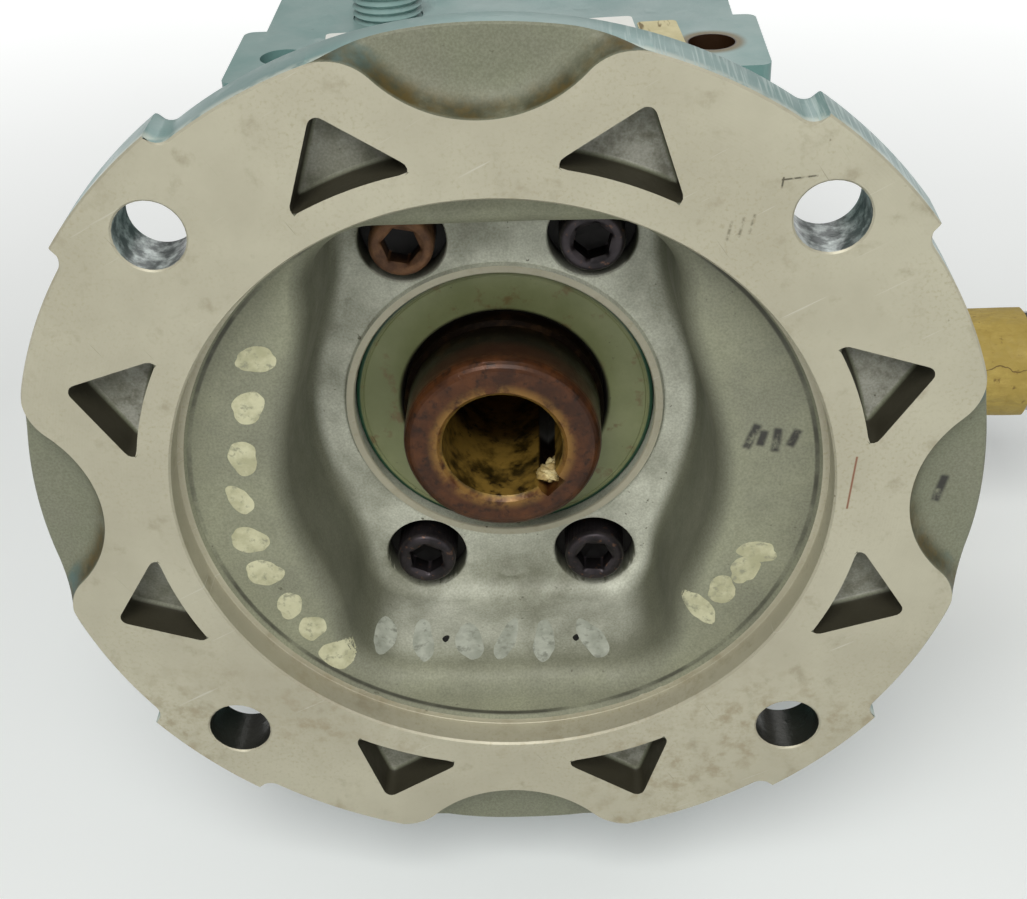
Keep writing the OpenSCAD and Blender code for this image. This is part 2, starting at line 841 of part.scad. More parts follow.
module nameplate_pins() {
    color("#b4b8ba") at_plate() at_plate_pins() {
        bar(-plate_pin_l, plate_t + over, plate_pin_r);
        bar(plate_t, plate_t + over, plate_pin_head_r);
    }
}

// Pipe plug with its threads as rings, its face at z = rise and its body below
module plug(rise) {
    length = wall + landing_t + rise;
    rings = floor(length / plug_pitch);
    difference() {
        turned([
            [0, rise],
            for (i = [0:rings - 1])
                each [
                    [plug_r - plug_thread_d, rise - i * plug_pitch],
                    [plug_r, rise - (i + 1 / 2) * plug_pitch]
                ],
            [plug_r - plug_thread_d, rise - rings * plug_pitch],
            [0, rise - rings * plug_pitch]
        ]);
        translate([0, 0, rise - plug_hex_d]) cylinder(h = plug_hex_d + over, r = plug_hex_r, $fn = 6);
    }
}

module at_fill() { translate([fill_place.x, fill_place.y, top_z]) children(); }
module at_level() {
    translate([body_half_w, out_y + level_place.x, level_place.y]) rotate([0, 90, 0]) children();
}
module at_drain() {
    translate([drain_place.x, body_rear_y, drain_place.y]) rotate([-90, 0, 0]) children();
}

module fill_plug() { color("#6f9494") at_fill() plug(fill_rise); }
module level_plug() { color("#6f9494") at_level() plug(side_rise); }
module drain_plug() { color("#6f9494") at_drain() plug(side_rise); }

// Hexagon head bolt with its seat at z = 0 and its shank below
module hex_bolt() {
    cylinder(h = bolt_head_h, r = bolt_head_r, $fn = 6);
    bar(-bolt_length, over, bolt_r);
}

module at_cap_bolts() { around(cap_bolts, cap_r - cap_bolt_in, 45) children(); }
module at_cover_bolts() { around(cover_bolts, cover_r - cover_bolt_in, 30) children(); }

module rear_cap() {
    in_y = rear_y + shim_t;
    out_face_y = in_y + cap_t;
    spigot_r = rear_bearing[1];
    color("#6f9494") difference() {
        on_input() turned([
            [0, out_face_y], [cap_r - edge, out_face_y], [cap_r, out_face_y - edge], [cap_r, in_y],
            [spigot_r - seat, in_y], [spigot_r - seat, rear_cup_y],
            [race_r(rear_bearing, 0) + edge, rear_cup_y],
            [race_r(rear_bearing, 0) + edge, in_y + landing_t], [0, in_y + landing_t]
        ]);
        slab(in_y - over, out_face_y + over) at_cap_bolts() circle(bolt_r + seat);
    }
}

module rear_cap_shims() {
    color("#b7bbbd") difference() {
        rod(rear_y, rear_y + shim_t, cap_r, cap_r);
        rod(rear_y - over, rear_y + cap_t, rear_bearing[1] + seat, rear_bearing[1] + seat);
        slab(rear_y - over, rear_y + cap_t) at_cap_bolts() circle(bolt_r + seat);
    }
}

module rear_cap_bolts() {
    color("#55595b") on_input(rear_y + shim_t + cap_t) at_cap_bolts() hex_bolt();
}

// Left side cover: z is measured along the output axis
cover_in_x = -body_half_w - side_landing_t - shim_t;
cover_out_x = cover_in_x - cover_t;

module side_cover() {
    pocket_r = output_bearing[1] + seat;
    color("#6f9494") on_output() difference() {
        turned([
            [0, cover_out_x - cover_dome_h], [cover_dome_r - cover_dome_h, cover_out_x - cover_dome_h],
            [cover_dome_r, cover_out_x], [cover_r - edge, cover_out_x],
            [cover_r, cover_out_x + edge], [cover_r, cover_in_x],
            [cover_spigot_r - seat, cover_in_x], [cover_spigot_r - seat, cover_in_x + cover_spigot_l],
            [cover_spigot_r - cover_spigot_t, cover_in_x + cover_spigot_l],
            [cover_spigot_r - cover_spigot_t, cover_in_x], [output_boss_r, cover_in_x],
            [output_boss_r, -output_cone_x - boss_gap], [pocket_r, -output_cone_x - boss_gap],
            [pocket_r, -output_cup_x], [race_r(output_bearing, 0), -output_cup_x],
            [race_r(output_bearing, 0), cover_in_x], [0, cover_in_x]
        ]);
        translate([0, 0, cover_out_x - over]) at_cover_bolts()
            cylinder(h = cover_t + 2 * over, r = bolt_r + seat);
    }
}

module side_cover_shims() {
    color("#b7bbbd") on_output() difference() {
        bar(cover_in_x, cover_in_x + shim_t, cover_r);
        bar(cover_in_x - over, cover_in_x + cover_t, cover_spigot_r + seat);
        translate([0, 0, cover_in_x - over]) at_cover_bolts() cylinder(h = cover_t, r = bolt_r + seat);
    }
}

module side_cover_bolts() {
    color("#55595b") on_output(cover_out_x) rotate([180, 0, 0]) at_cover_bolts() hex_bolt();
}

module ears(from_z) {
    for (y = [body_front_y + ear_length / 2, body_rear_y - ear_length / 2])
        translate([0, y, from_z]) linear_extrude(ear_t)
            round_rect(body_half_w + ear_rise, ear_length / 2, ear_corner_r);
}

module at_mounts() {
    translate([0, out_y]) at_corners(mount_x, mount_y) children();
}

// The inside of the housing: a box less the bosses and corner columns that stand in it
module cavity() {
    half_l = out_y - body_front_y - wall;
    difference() {
        translate([0, out_y, -base_z + wall]) linear_extrude(top_z + base_z - 2 * wall)
            round_rect(body_half_w - wall, half_l, body_corner_r);
        translate([0, 0, -base_z]) linear_extrude(top_z + base_z) at_mounts() circle(column_r);
        rod(front_y, front_boss_y, front_boss_r, front_boss_r);
        rod(rear_cone_y + boss_gap, rear_y, rear_boss_r, rear_boss_r);
        on_output() bar(output_cone_x + boss_gap, body_half_w, output_boss_r);
    }
}

module housing() {
    color("#6f9494") difference() {
        union() {
            translate([0, out_y, -base_z]) linear_extrude(top_z + base_z)
                round_rect(body_half_w, out_y - body_front_y, body_corner_r);
            ears(top_z - ear_t);
            ears(-base_z);
            slab(front_y, body_front_y + over) recess_outline(cup_wall);
            rod(body_rear_y - over, rear_y, cap_r, cap_r);
            on_output() bar(-body_half_w - side_landing_t, -body_half_w + over, landing_r);
            on_output(body_half_w - over)
                cylinder(h = right_boss_x - body_half_w + over, r1 = right_boss_r,
                    r2 = right_boss_r - right_boss_draft);
        }
        cavity();
        rod(front_y - over, front_boss_y + over, front_bearing[1] + seat, front_bearing[1] + seat);
        rod(rear_cone_y, rear_y + over, rear_bearing[1] + seat, rear_bearing[1] + seat);
        on_output() {
            bar(-body_half_w - side_landing_t - over, -body_half_w + wall + over, cover_spigot_r + seat);
            bar(output_cone_x, output_cup_x, output_bearing[1] + seat);
            bar(output_cone_x, right_boss_x, output_r + shaft_hole_gap);
            bar(right_boss_x - seal_sunk - seal_w, right_boss_x + over, output_seal_r + seat);
        }
        slab(front_y - over, front_y + screw_length - hub_floor_t + screw_counterbore_d + tap_over)
            at_screws() circle(screw_r + seat);
        slab(rear_y - tap_d, rear_y + over) at_cap_bolts() circle(bolt_r + seat);
        on_output(-body_half_w - side_landing_t - over) at_cover_bolts()
            cylinder(h = tap_d + over, r = bolt_r + seat);
        at_mounts() {
            bar(top_z - mount_hole_d, top_z + over, top_hole_r);
            bar(-base_z - over, mount_hole_d - base_z, base_hole_r);
        }
        at_fill() bar(-wall - over, over, plug_r + seat);
        at_level() bar(-wall - over, over, plug_r + seat);
        at_drain() bar(-wall - over, over, plug_r + seat);
        at_plate() at_plate_pins() bar(-plate_pin_l - seat, over, plate_pin_r + seat);
    }
}

housing();
input_flange();
flange_gasket();
flange_screws();
input_seal();
input_seal_spring();
output_seal();
output_seal_spring();
rear_cap();
rear_cap_shims();
rear_cap_bolts();
side_cover();
side_cover_shims();
side_cover_bolts();
fill_plug();
level_plug();
drain_plug();
white_label();
yellow_label();
nameplate();
nameplate_pins();
worm_front_cup();
worm_rear_cup();
output_left_cup();
output_right_cup();
worm_shaft();
worm_front_cone();
worm_rear_cone();
output_shaft();
wheel_rim();
wheel_hub();
wheel_key();
wheel_spacer();
output_left_cone();
output_right_cone();
shaft_wrap();
worm_front_cage();
worm_front_rollers();
worm_rear_cage();
worm_rear_rollers();
output_left_cage();
output_left_rollers();
output_right_cage();
output_right_rollers();
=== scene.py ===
import math

import bmesh
import bpy
import numpy as np
from mathutils import Matrix, Vector
from mathutils.geometry import delaunay_2d_cdt


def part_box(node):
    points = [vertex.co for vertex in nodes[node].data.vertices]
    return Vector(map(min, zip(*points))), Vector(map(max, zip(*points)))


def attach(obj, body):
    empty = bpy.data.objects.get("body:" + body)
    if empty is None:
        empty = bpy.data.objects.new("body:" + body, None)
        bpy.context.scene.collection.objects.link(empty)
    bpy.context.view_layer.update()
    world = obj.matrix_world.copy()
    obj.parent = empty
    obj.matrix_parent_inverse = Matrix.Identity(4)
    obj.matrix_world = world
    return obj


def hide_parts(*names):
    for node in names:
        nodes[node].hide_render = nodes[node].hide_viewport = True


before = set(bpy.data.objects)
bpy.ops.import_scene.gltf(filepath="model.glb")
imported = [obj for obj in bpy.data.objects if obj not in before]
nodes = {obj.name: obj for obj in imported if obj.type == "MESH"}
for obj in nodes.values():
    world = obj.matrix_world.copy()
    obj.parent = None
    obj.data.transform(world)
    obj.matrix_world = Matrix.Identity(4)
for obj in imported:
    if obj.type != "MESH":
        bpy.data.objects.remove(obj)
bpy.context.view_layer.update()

MM = 0.001
scene = bpy.context.scene


# The camera stands where the photographer's stood, above the motor side and looking
# down into the flange. Its place comes from the bolt holes, screws and shaft in the picture.
PLACE = Vector((11.72, -212.62, 153.69)) * MM
RIGHT = Vector((0.99773, 0.04345, -0.05141))
AHEAD = Vector((-0.0648, 0.8277, -0.5575)).normalized()

camera_data = bpy.data.cameras.new("camera")
camera_data.lens = 53.09
camera_data.shift_x, camera_data.shift_y = 0.0442, 0.0058
camera_data.clip_start = 0.005
camera = bpy.data.objects.new("camera", camera_data)
scene.collection.objects.link(camera)
scene.camera = camera
scene.view_settings.view_transform = "Standard"

back = -AHEAD
right = (RIGHT - RIGHT.dot(back) * back).normalized()
up = back.cross(right)
camera.matrix_world = Matrix(((right.x, up.x, back.x, PLACE.x), (right.y, up.y, back.y, PLACE.y),
                              (right.z, up.z, back.z, PLACE.z), (0, 0, 0, 1)))


# The table and the light: a pale sheet of board under the reducer, an even white sky,
# and three soft lamps, the largest one above and in front as a window or ceiling would be.
FLOOR_Z = -105.05 * MM
BOARD_REACH = 4.0
WHITE = (1, 1, 1, 1)
SKY_STRENGTH = 0.24
GLOW_FROM, GLOW_TO = 0.3, 0.9
GLOW_NEAR, GLOW_FAR = 0.17, 0.85


def put(tree, kind, inputs=None, output=0, **settings):
    """Adds one shader node and gives one of its outputs. Inputs, by name or number, take a
    value or another node's output, and settings are the node's own choices."""
    made = tree.nodes.new("ShaderNode" + kind)
    for name, value in settings.items():
        setattr(made, name, value)
    for name, value in (inputs or {}).items():
        if isinstance(value, bpy.types.NodeSocket):
            tree.links.new(value, made.inputs[name])
        else:
            made.inputs[name].default_value = value
    return made.outputs[output]


def largest(tree, *rays):
    """1 for a ray of any of the kinds named, as the light path node calls them."""
    seen = put(tree, "LightPath", output=rays[0])
    for ray in rays[1:]:
        seen = put(tree, "Math", {0: seen, 1: put(tree, "LightPath", output=ray)}, operation="MAXIMUM")
    return seen


def screen_colour(r, g, b):
    """A colour read off a screen, 0 to 255, as the linear values that a shader takes."""
    c = np.array([r, g, b]) / 255
    linear = np.where(c <= 0.04045, c / 12.92, ((c + 0.055) / 1.055) ** 2.4)
    return (*linear.tolist(), 1.0)


class Finish:
    """A material in the making. Masks run from 0 to 1, and a mask written as numbers is a
    cloud of patches: scale, level, softness, seed and, if it isn't 5, detail. Each tint
    lies over the ones before it. Places are in metres."""

    def __init__(self, name, **shader):
        self.material = bpy.data.materials.new(name)
        self.material.use_nodes = True
        self.tree = self.material.node_tree
        self.face = self.tree.nodes["Principled BSDF"]
        self.place = self.put("TexCoord", output="Object")
        for label, value in shader.items():
            self.face.inputs[label.replace("_", " ")].default_value = value

    def put(self, kind, inputs=None, output=0, **settings):
        return put(self.tree, kind, inputs, output, **settings)

    def feed(self, label, socket):
        self.tree.links.new(socket, self.face.inputs[label])

    def maths(self, operation, *values):
        return self.put("Math", dict(enumerate(values)), operation=operation)

    def vector(self, operation, *values, output=0):
        return self.put("VectorMath", dict(enumerate(values)), output, operation=operation)

    def noise(self, stretch=None, **inputs):
        place = self.vector("MULTIPLY", self.place, stretch) if stretch else self.place
        return self.put("TexNoise", {"Vector": place, **inputs})

    def attribute(self, name):
        return self.put("Attribute", output="Fac", attribute_name=name)

    def along(self, axis):
        """The place along X, Y or Z, which are 0, 1 and 2."""
        return self.put("SeparateXYZ", {0: self.place}, axis)

    def from_axis(self, axis=1, through=(0, 0, 0)):
        """Distance from a line along X, Y or Z, which are 0, 1 and 2."""
        moved = self.vector("SUBTRACT", self.place, through)
        flat = self.vector("MULTIPLY", moved, [float(i != axis) for i in range(3)])
        return self.vector("LENGTH", flat, output="Value")

    def group(self, kind, **inputs):
        return self.put("Group", inputs, node_tree=kind)

    def mask(self, mask):
        if not isinstance(mask, tuple):
            return mask
        return self.group(patches, **dict(zip(("Scale", "Level", "Softness", "Seed", "Detail"), mask)))

    def ramp(self, value, low, high):
        """0 where a number is below low, 1 where it is above high, and smooth between."""
        return self.put("MapRange", {0: value, 1: low, 2: high}, interpolation_type="SMOOTHSTEP")

    def both(self, *masks):
        """The product of masks, so 1 only where each of them is."""
        product = self.mask(masks[0])
        for mask in masks[1:]:
            product = self.maths("MULTIPLY", product, self.mask(mask))
        return product

    def stroke(self, centre, half_long, half_wide, turn, soft=0.12):
        """1 on a straight stroke in the XZ plane, its places and sizes in millimetres, and
        0 beyond its softened edge."""
        moved = self.vector("SUBTRACT", self.place, (centre[0] * MM, 0, centre[1] * MM))
        turned = self.put("VectorRotate", {"Vector": moved, "Angle": turn}, rotation_type="Y_AXIS")
        masks = []
        for axis, half in ((0, half_long), (2, half_wide)):
            size = self.maths("ABSOLUTE", self.put("SeparateXYZ", {0: turned}, axis))
            masks.append(self.ramp(size, (half + soft) * MM, (half - soft) * MM))
        return self.both(*masks)

    def blend(self, mask, low, high, kind="MIX"):
        """Colour low where the mask is 0 and high where it is 1."""
        low, high = [screen_colour(*c) if isinstance(c, tuple) else c for c in (low, high)]
        return self.put("Mix", {0: self.mask(mask), 6: low, 7: high}, 2, data_type="RGBA", blend_type=kind)

    def base(self, mask, low, high):
        self.colour = self.blend(mask, low, high)
        self.feed("Base Color", self.colour)

    def tint(self, mask, colour, kind="MIX"):
        self.colour = self.blend(mask, self.colour, colour, kind)
        self.feed("Base Color", self.colour)

    def vary(self, label, mask, low, high):
        """Runs one of the shader's values from low to high as the mask goes from 0 to 1."""
        self.feed(label, self.put("MapRange", {0: self.mask(mask), 3: low, 4: high}))

    def raised(self, height, strength, distance):
        """Lets a height in the material stand out by a distance."""
        bump = self.put("Bump", {"Strength": strength, "Distance": distance, "Height": height})
        self.feed("Normal", bump)

    def grain(self, grain, pit, strength, distance):
        self.raised(self.group(cast_skin, Grain=grain, Pit=pit), strength, distance)

    def onto(self, *names):
        """Gives the finish to CAD nodes whose shape is right."""
        for name in names:
            for slot in nodes[name].material_slots:
                slot.material = self.material


board = bpy.data.meshes.new("table_top")
corners = ((-1, -1), (1, -1), (1, 1), (-1, 1))
board.from_pydata([(x * BOARD_REACH, y * BOARD_REACH, FLOOR_Z) for x, y in corners], [], [(0, 1, 2, 3)])
table_top = bpy.data.objects.new("table_top", board)
scene.collection.objects.link(table_top)
paint = Finish("board_paint", Roughness=0.6, Emission_Color=WHITE)
paint.base(paint.noise(Scale=9.0, Detail=4.0), (220, 223, 221), (228, 231, 229))
away = paint.vector("LENGTH", paint.place, output="Value")
glow = paint.put("MapRange", {0: away, 1: GLOW_FROM, 2: GLOW_TO, 3: GLOW_NEAR, 4: GLOW_FAR})
seen = largest(paint.tree, "Is Camera Ray", "Is Glossy Ray", "Is Transmission Ray")
paint.feed("Emission Strength", paint.maths("MULTIPLY", seen, glow))
board.materials.append(paint.material)

sky = bpy.data.worlds.new("sky")
scene.world = sky
sky.use_nodes = True
tree = sky.node_tree
plain = tree.nodes["Background"]
plain.inputs["Color"].default_value = WHITE
plain.inputs["Strength"].default_value = SKY_STRENGTH
bright = put(tree, "Background", {"Color": WHITE, "Strength": 1.0})
seen = largest(tree, "Is Camera Ray", "Is Transmission Ray")
tree.links.new(put(tree, "MixShader", {0: seen, 1: plain.outputs[0], 2: bright}),
               tree.nodes["World Output"].inputs["Surface"])


def soft_lamp(name, place, aim, size, power, colour=WHITE[:3]):
    """A square area lamp at a place in millimetres, turned towards another place."""
    data = bpy.data.lights.new(name, "AREA")
    data.shape, data.size, data.energy, data.color = "SQUARE", size, power, colour
    lamp = bpy.data.objects.new(name, data)
    scene.collection.objects.link(lamp)
    lamp.location = Vector(place) * MM
    lamp.rotation_euler = (Vector(aim) - Vector(place)).to_track_quat("-Z", "Y").to_euler()


soft_lamp("ceiling_lamp", (-90, -640, 800), (0, 20, 0), 0.6, 8.7, (1.0, 0.995, 0.98))
soft_lamp("back_lamp", (200, 1000, 750), (0, 130, 0), 0.8, 2.5)
soft_lamp("side_lamp", (600, -700, 300), (0, 20, 0), 0.5, 1.1)


# The input flange: one iron casting that centres the motor. Its front face, the register
# and the bolt holes are machined bright, the bowl, scallops and pockets stay as they were
# cast, and the rim and back are sprayed with the housing's paint. Lengths in millimetres.
FLANGE_R, LOBE_R, COVE_R = 83.2, 86.0, 2.8
LOBE_END = math.radians(10.4)
QUARTER = np.pi / 2
RIM_BACK = 10.8
BOLT_AT, BOLT_R = 52.76, 5.95
SCREWS = [(sx * 17.0, sz * 35.1) for sx in (-1, 1) for sz in (-1, 1)]
BOLTS = [(sx * BOLT_AT, sz * BOLT_AT) for sx in (-1, 1) for sz in (-1, 1)]
COUNTERBORE = (7.98, 8.06, 8.3, 8.4)
COUNTERBORE_Y = 37.8
RECESS_SIDE, RECESS_UP, RECESS_MID, RECESS_CORNER = 30.8, 47.2, 1.5, 12
RECESS_ROUND, RECESS_JOIN = 38.2, 9.0
SCALLOP_R, SCALLOP_OUT, CORNER_R = 22.0, 92.0, 9.0
CORNER_IN = FLANGE_R - CORNER_R
CORNER_X = (CORNER_IN ** 2 - (SCALLOP_R + CORNER_R) ** 2 + SCALLOP_OUT ** 2) / (2 * SCALLOP_OUT)
CORNER_Y = math.sqrt(CORNER_IN ** 2 - CORNER_X ** 2)
POCKET_CORNERS = np.array([[25.3, 72.1], [9.5, 62.1], [30.9, 54.4]])
POCKET_MID = np.array([22.3, 62.8])
POCKET_ROUND, POCKET_INNER = 1.5, 63.0
OUTER_FROM = 60
EDGE = 0.35
SEAL_SEAT = 28.575
CUP_R, CUP_END = 64.6, 44.5
LOOSE_STEP = 2.2
BRIGHT, CAST, TEAL, OILY = 0, 1, 2, 3


def around(count):
    return np.linspace(0, 2 * np.pi, count, endpoint=False)


RING = around(360)


def polar(radius, angle, x=0.0, z=0.0):
    """Points (x, z) at a radius and angle about a centre."""
    return np.stack([x + radius * np.cos(angle), z + radius * np.sin(angle)], -1)


def circle(radius, x=0.0, z=0.0, count=360):
    return polar(radius, around(count), x, z)


def ring_at(radius, y, angle=RING, x=0.0, z=0.0):
    """A ring of points in space, its radius and depth each one number or one a point."""
    return np.insert(polar(np.broadcast_to(radius, angle.shape), angle, x, z), 1, y, axis=1)


def turned(points, angle):
    """Points (x, z) turned about the input axis."""
    c, n = math.cos(angle), math.sin(angle)
    return np.stack([points[:, 0] * c - points[:, 1] * n, points[:, 0] * n + points[:, 1] * c], 1)


def nearest(x, z, places):
    """Distance from the nearest of some places."""
    return np.min([np.hypot(x - a, z - b) for a, b in places], 0)


def outline_radius(angle):
    """Radius of the rim: 83.2, or 86 on a lobe round each diagonal, with a cove of radius
    2.8 struck about the lobe's end."""
    along = LOBE_R * np.abs((angle % QUARTER) - QUARTER / 2)
    end = LOBE_R * LOBE_END
    cove = LOBE_R - np.sqrt(np.clip(COVE_R ** 2 - (along - end) ** 2, 0, None))
    return np.where(along < end - COVE_R, LOBE_R, np.where(along < end, cove, FLANGE_R))


def smooth_low(a, b, width):
    """The lower of two distances, with a round join where they are about equal."""
    h = np.clip(width - np.abs(a - b), 0, None) / width
    return np.minimum(a, b) - h * h * width / 4


def recess_distance(x, z):
    """Distance outside the recess round the hub: a rectangle with round corners, 48.7 up
    and 45.7 down from the axis, joined smoothly to a circle. Negative inside."""
    qx = np.abs(x) - (RECESS_SIDE - RECESS_CORNER)
    qz = np.abs(z - RECESS_MID) - (RECESS_UP - RECESS_CORNER)
    box = np.hypot(np.clip(qx, 0, None), np.clip(qz, 0, None)) + np.clip(np.maximum(qx, qz), None, 0)
    return smooth_low(box - RECESS_CORNER, np.hypot(x, z) - RECESS_ROUND, RECESS_JOIN)


def scallop_distance(x, z):
    """Distance inside the nearest scallop: 22 less the distance from its centre, or near
    the rim the distance past the round corner of radius 9."""
    u, v = np.maximum(np.abs(x), np.abs(z)), np.minimum(np.abs(x), np.abs(z))
    du, dv = u - CORNER_X, v - CORNER_Y
    past_arc = (SCALLOP_OUT - CORNER_X) * dv + CORNER_Y * du > 0
    before_rim = du * CORNER_Y - dv * CORNER_X > 0
    return np.where(past_arc & before_rim, np.hypot(du, dv) - CORNER_R,
                    SCALLOP_R - np.hypot(u - SCALLOP_OUT, v))


def pocket_outline():
    """The corners of a triangular pocket rounded to 1.5, its inner side on a circle of 63."""
    corners = POCKET_CORNERS
    side = [np.linalg.norm(corners[(i + 1) % 3] - corners[(i + 2) % 3]) for i in range(3)]
    centre = (corners * np.array(side)[:, None]).sum(0) / sum(side)
    a, b = corners[1] - corners[0], corners[2] - corners[0]
    area = a[0] * b[1] - a[1] * b[0]
    inner, turn = abs(area) / sum(side), np.sign(area)
    inset = centre + (corners - centre) * (inner - POCKET_ROUND) / inner
    points = []
    for i in range(3):
        before, after = inset[i] - inset[i - 1], inset[(i + 1) % 3] - inset[i]
        a0, a1 = [math.atan2(-way[0] * turn, way[1] * turn) for way in (before, after)]
        sweep = (a1 - a0) * turn % (2 * math.pi) * turn
        points.append(polar(POCKET_ROUND, a0 + sweep * np.linspace(0, 1, 8), *inset[i]))
    ring = np.concatenate(points)
    ahead = np.roll(ring, -1, 0)
    ring = np.concatenate([np.linspace(p, q, 12, endpoint=False) for p, q in zip(ring, ahead)])
    r = np.hypot(ring[:, 0], ring[:, 1])
    return ring * (np.maximum(r, POCKET_INNER) / r)[:, None]


POCKET = pocket_outline()


def pocket_distance(x, z):
    """Distance inside the nearest of the eight pockets, which repeat every quarter turn
    and on both sides of each axis: how far the outline is, negative outside it."""
    x, z = np.abs(x), np.abs(z)
    p = np.stack([np.minimum(x, z), np.maximum(x, z)], -1)[..., None, :]
    a, b = POCKET, np.roll(POCKET, -1, 0)
    along = np.clip(((p - a) * (b - a)).sum(-1) / ((b - a) ** 2).sum(-1).clip(1e-9), 0, 1)
    d = np.hypot(*np.moveaxis(p - (a + along[..., None] * (b - a)), -1, 0)).min(-1)
    px, pz, (ax, az), (bx, bz) = p[..., 0], p[..., 1], a.T, b.T
    rise = np.where(bz == az, 1e-9, bz - az)
    crosses = ((az > pz) != (bz > pz)) & (px < ax + (pz - az) / rise * (bx - ax))
    return np.where(crosses.sum(-1) % 2 == 1, d, -d)


# Depth behind the machined face, each as pairs of place and depth across one feature
REGISTER = np.array([[50, 6.9], [54.3, 6.7], [55.5, 6.5], [56.0, 5.55], [56.3, 5.5], [57.0, 5.5],
                     [57.1, 5.4], [57.2, 0.4], [57.55, 0]])
LIP = [(4.6 - 4.6 * math.sin(a), 4.6 - 4.6 * math.cos(a)) for a in np.radians(np.arange(0, 91, 9))]
WALL = [(-0.9 * t, 4.6 + 17.1 * t) for t in (0.17, 0.33, 0.5, 0.67, 0.83)]
FILLET = [(-0.9 - 3.8 * (1 - math.cos(a)), 21.7 + 3.8 * math.sin(a))
          for a in np.radians(np.arange(0, 91, 10))]
RECESS = np.array(LIP + WALL + FILLET)
SCALLOP = np.array([[0, 0], [0.2, 0.7], [0.45, 1.4], [0.85, 2.2], [1.35, 2.95], [2.0, 3.6],
                    [2.8, 4.1], [3.8, 4.45], [5.0, 4.7]])
POCKET_WALL = np.array([[0, 0], [0.12, 5.6], [0.3, 6.3], [0.6, 6.75], [1.0, 7.0]])
HUB = np.array([[SEAL_SEAT, 31.9], [28.8, 31.6], [30.1, 31.6], [30.5, 32.4]])
# The back edge of the rim, as pairs of inset and depth
RIM_PROFILE = ((0, 6.0), (0, 9.2), (0.15, 9.85), (0.5, 10.4), (1.0, 10.7), (1.7, RIM_BACK))


def flange_depth(x, z):
    """Depth of the front at (x, z): register, bowl, hub, counterbores, scallops, pockets
    and the broken edges of the holes and rim, each worked out from its own distance."""
    r, angle = np.hypot(x, z), np.arctan2(z, x)
    bowl = np.interp(-recess_distance(x, z), -RECESS[:, 0], RECESS[:, 1])
    y = np.interp(r, *REGISTER.T) + np.where(r < 55, bowl, 0)
    waves = 0.16 * np.sin(x / 6.1 + 1.3 * np.sin(z / 7.7)) + 0.13 * np.sin(z / 5.2 + 0.7 + x / 11)
    y = y + waves * np.clip((54.5 - r) / 3, 0, 1) * np.clip((r - 31) / 3, 0, 1)
    y = np.where(r < HUB[-1, 0], np.interp(r, *HUB.T), y)
    d = nearest(x, z, SCREWS)
    bored = np.interp(d, COUNTERBORE, [1, 0.06, 0.0, 0.0])
    y = np.where(d < COUNTERBORE[-1], y + bored * (COUNTERBORE_Y - y), y)
    tick = np.hypot(np.clip(np.abs(x) - 1.6, 0, None), z + 41)
    y = y - np.interp(tick, [0, 0.5, 1.0], [0.5, 0.3, 0])
    scallop = scallop_distance(x, z)
    wave = 0.2 * np.sin(x / 4.3 + 0.5) * np.sin(z / 5.1) * np.clip((scallop - 3) / 4, 0, 1)
    y = np.where(r > OUTER_FROM, np.interp(scallop, *SCALLOP.T) + wave, y)
    y = y + np.where(r > OUTER_FROM, np.interp(pocket_distance(x, z), *POCKET_WALL.T), 0)
    y = y + np.interp(nearest(x, z, BOLTS), [BOLT_R, BOLT_R + 0.3], [0.3, 0])
    return y + np.interp(outline_radius(angle) - r, [0, EDGE], [EDGE, 0])


def halved(over, low, high):
    """Where something that grows with a number passes a level, by halving the range."""
    for _ in range(40):
        mid = (low + high) / 2
        past = over(mid)
        low, high = np.where(past, low, mid), np.where(past, mid, high)
    return low, high


def level_line(distance, level, low, high, angles=RING):
    """The closed line on which a distance that grows with radius has one value."""
    ends = [np.full(len(angles), float(end)) for end in (low, high)]
    radius = halved(lambda r: distance(*polar(r, angles).T) > level, *ends)[0]
    return polar(radius, angles)


def scallop_line(s, turn):
    """The line at distance s inside a scallop: an arc about its centre between two arcs
    about its round corners, out to the rim."""
    join = math.atan2(CORNER_Y, CORNER_X - SCALLOP_OUT)
    main = polar(SCALLOP_R - s, np.linspace(join, 2 * np.pi - join, 60), SCALLOP_OUT)
    t = np.linspace(math.atan2(CORNER_Y, CORNER_X), join - np.pi, 14)[:-1]
    corner = polar(CORNER_R + s, t, CORNER_X, CORNER_Y)
    return turned(np.concatenate([corner, main, corner[::-1] * [1, -1]]), turn)


def fill_between(lines, loose, keep):
    """Triangles over flat lines and loose points. lines are (points, closed). keep says
    from the middles of the triangles which ones stay."""
    points, edges, start = [], [], 0
    for line, closed in lines:
        n = len(line)
        i = np.arange(n if closed else n - 1)
        edges.append(np.stack([start + i, start + (i + 1) % n], 1))
        points.append(line)
        start += n
    points = np.concatenate(points + ([loose] if len(loose) else []))
    made = delaunay_2d_cdt([Vector(p) for p in points.tolist()],
                           np.concatenate(edges).tolist(), [], 0, 1e-5)
    flat = np.array([tuple(v) for v in made[0]])
    faces = np.array(made[2])
    faces = faces[keep(*flat[faces].mean(1).T)]
    used, faces = np.unique(faces, return_inverse=True)
    return flat[used], faces.reshape(-1, 3)


def edge_points(faces):
    """The numbers of the points on edges with one triangle only."""
    e = np.sort(np.concatenate([faces[:, [0, 1]], faces[:, [1, 2]], faces[:, [2, 0]]]), 1)
    e, count = np.unique(e, axis=0, return_counts=True)
    return np.unique(e[count == 1])


def grid_faces(rows, columns):
    """Four-sided faces over rows of points, each row a ring."""
    i, j = np.meshgrid(np.arange(rows - 1), np.arange(columns), indexing="ij")
    k = (j + 1) % columns
    return np.stack([i * columns + j, i * columns + k, (i + 1) * columns + k, (i + 1) * columns + j],
                    -1).reshape(-1, 4)


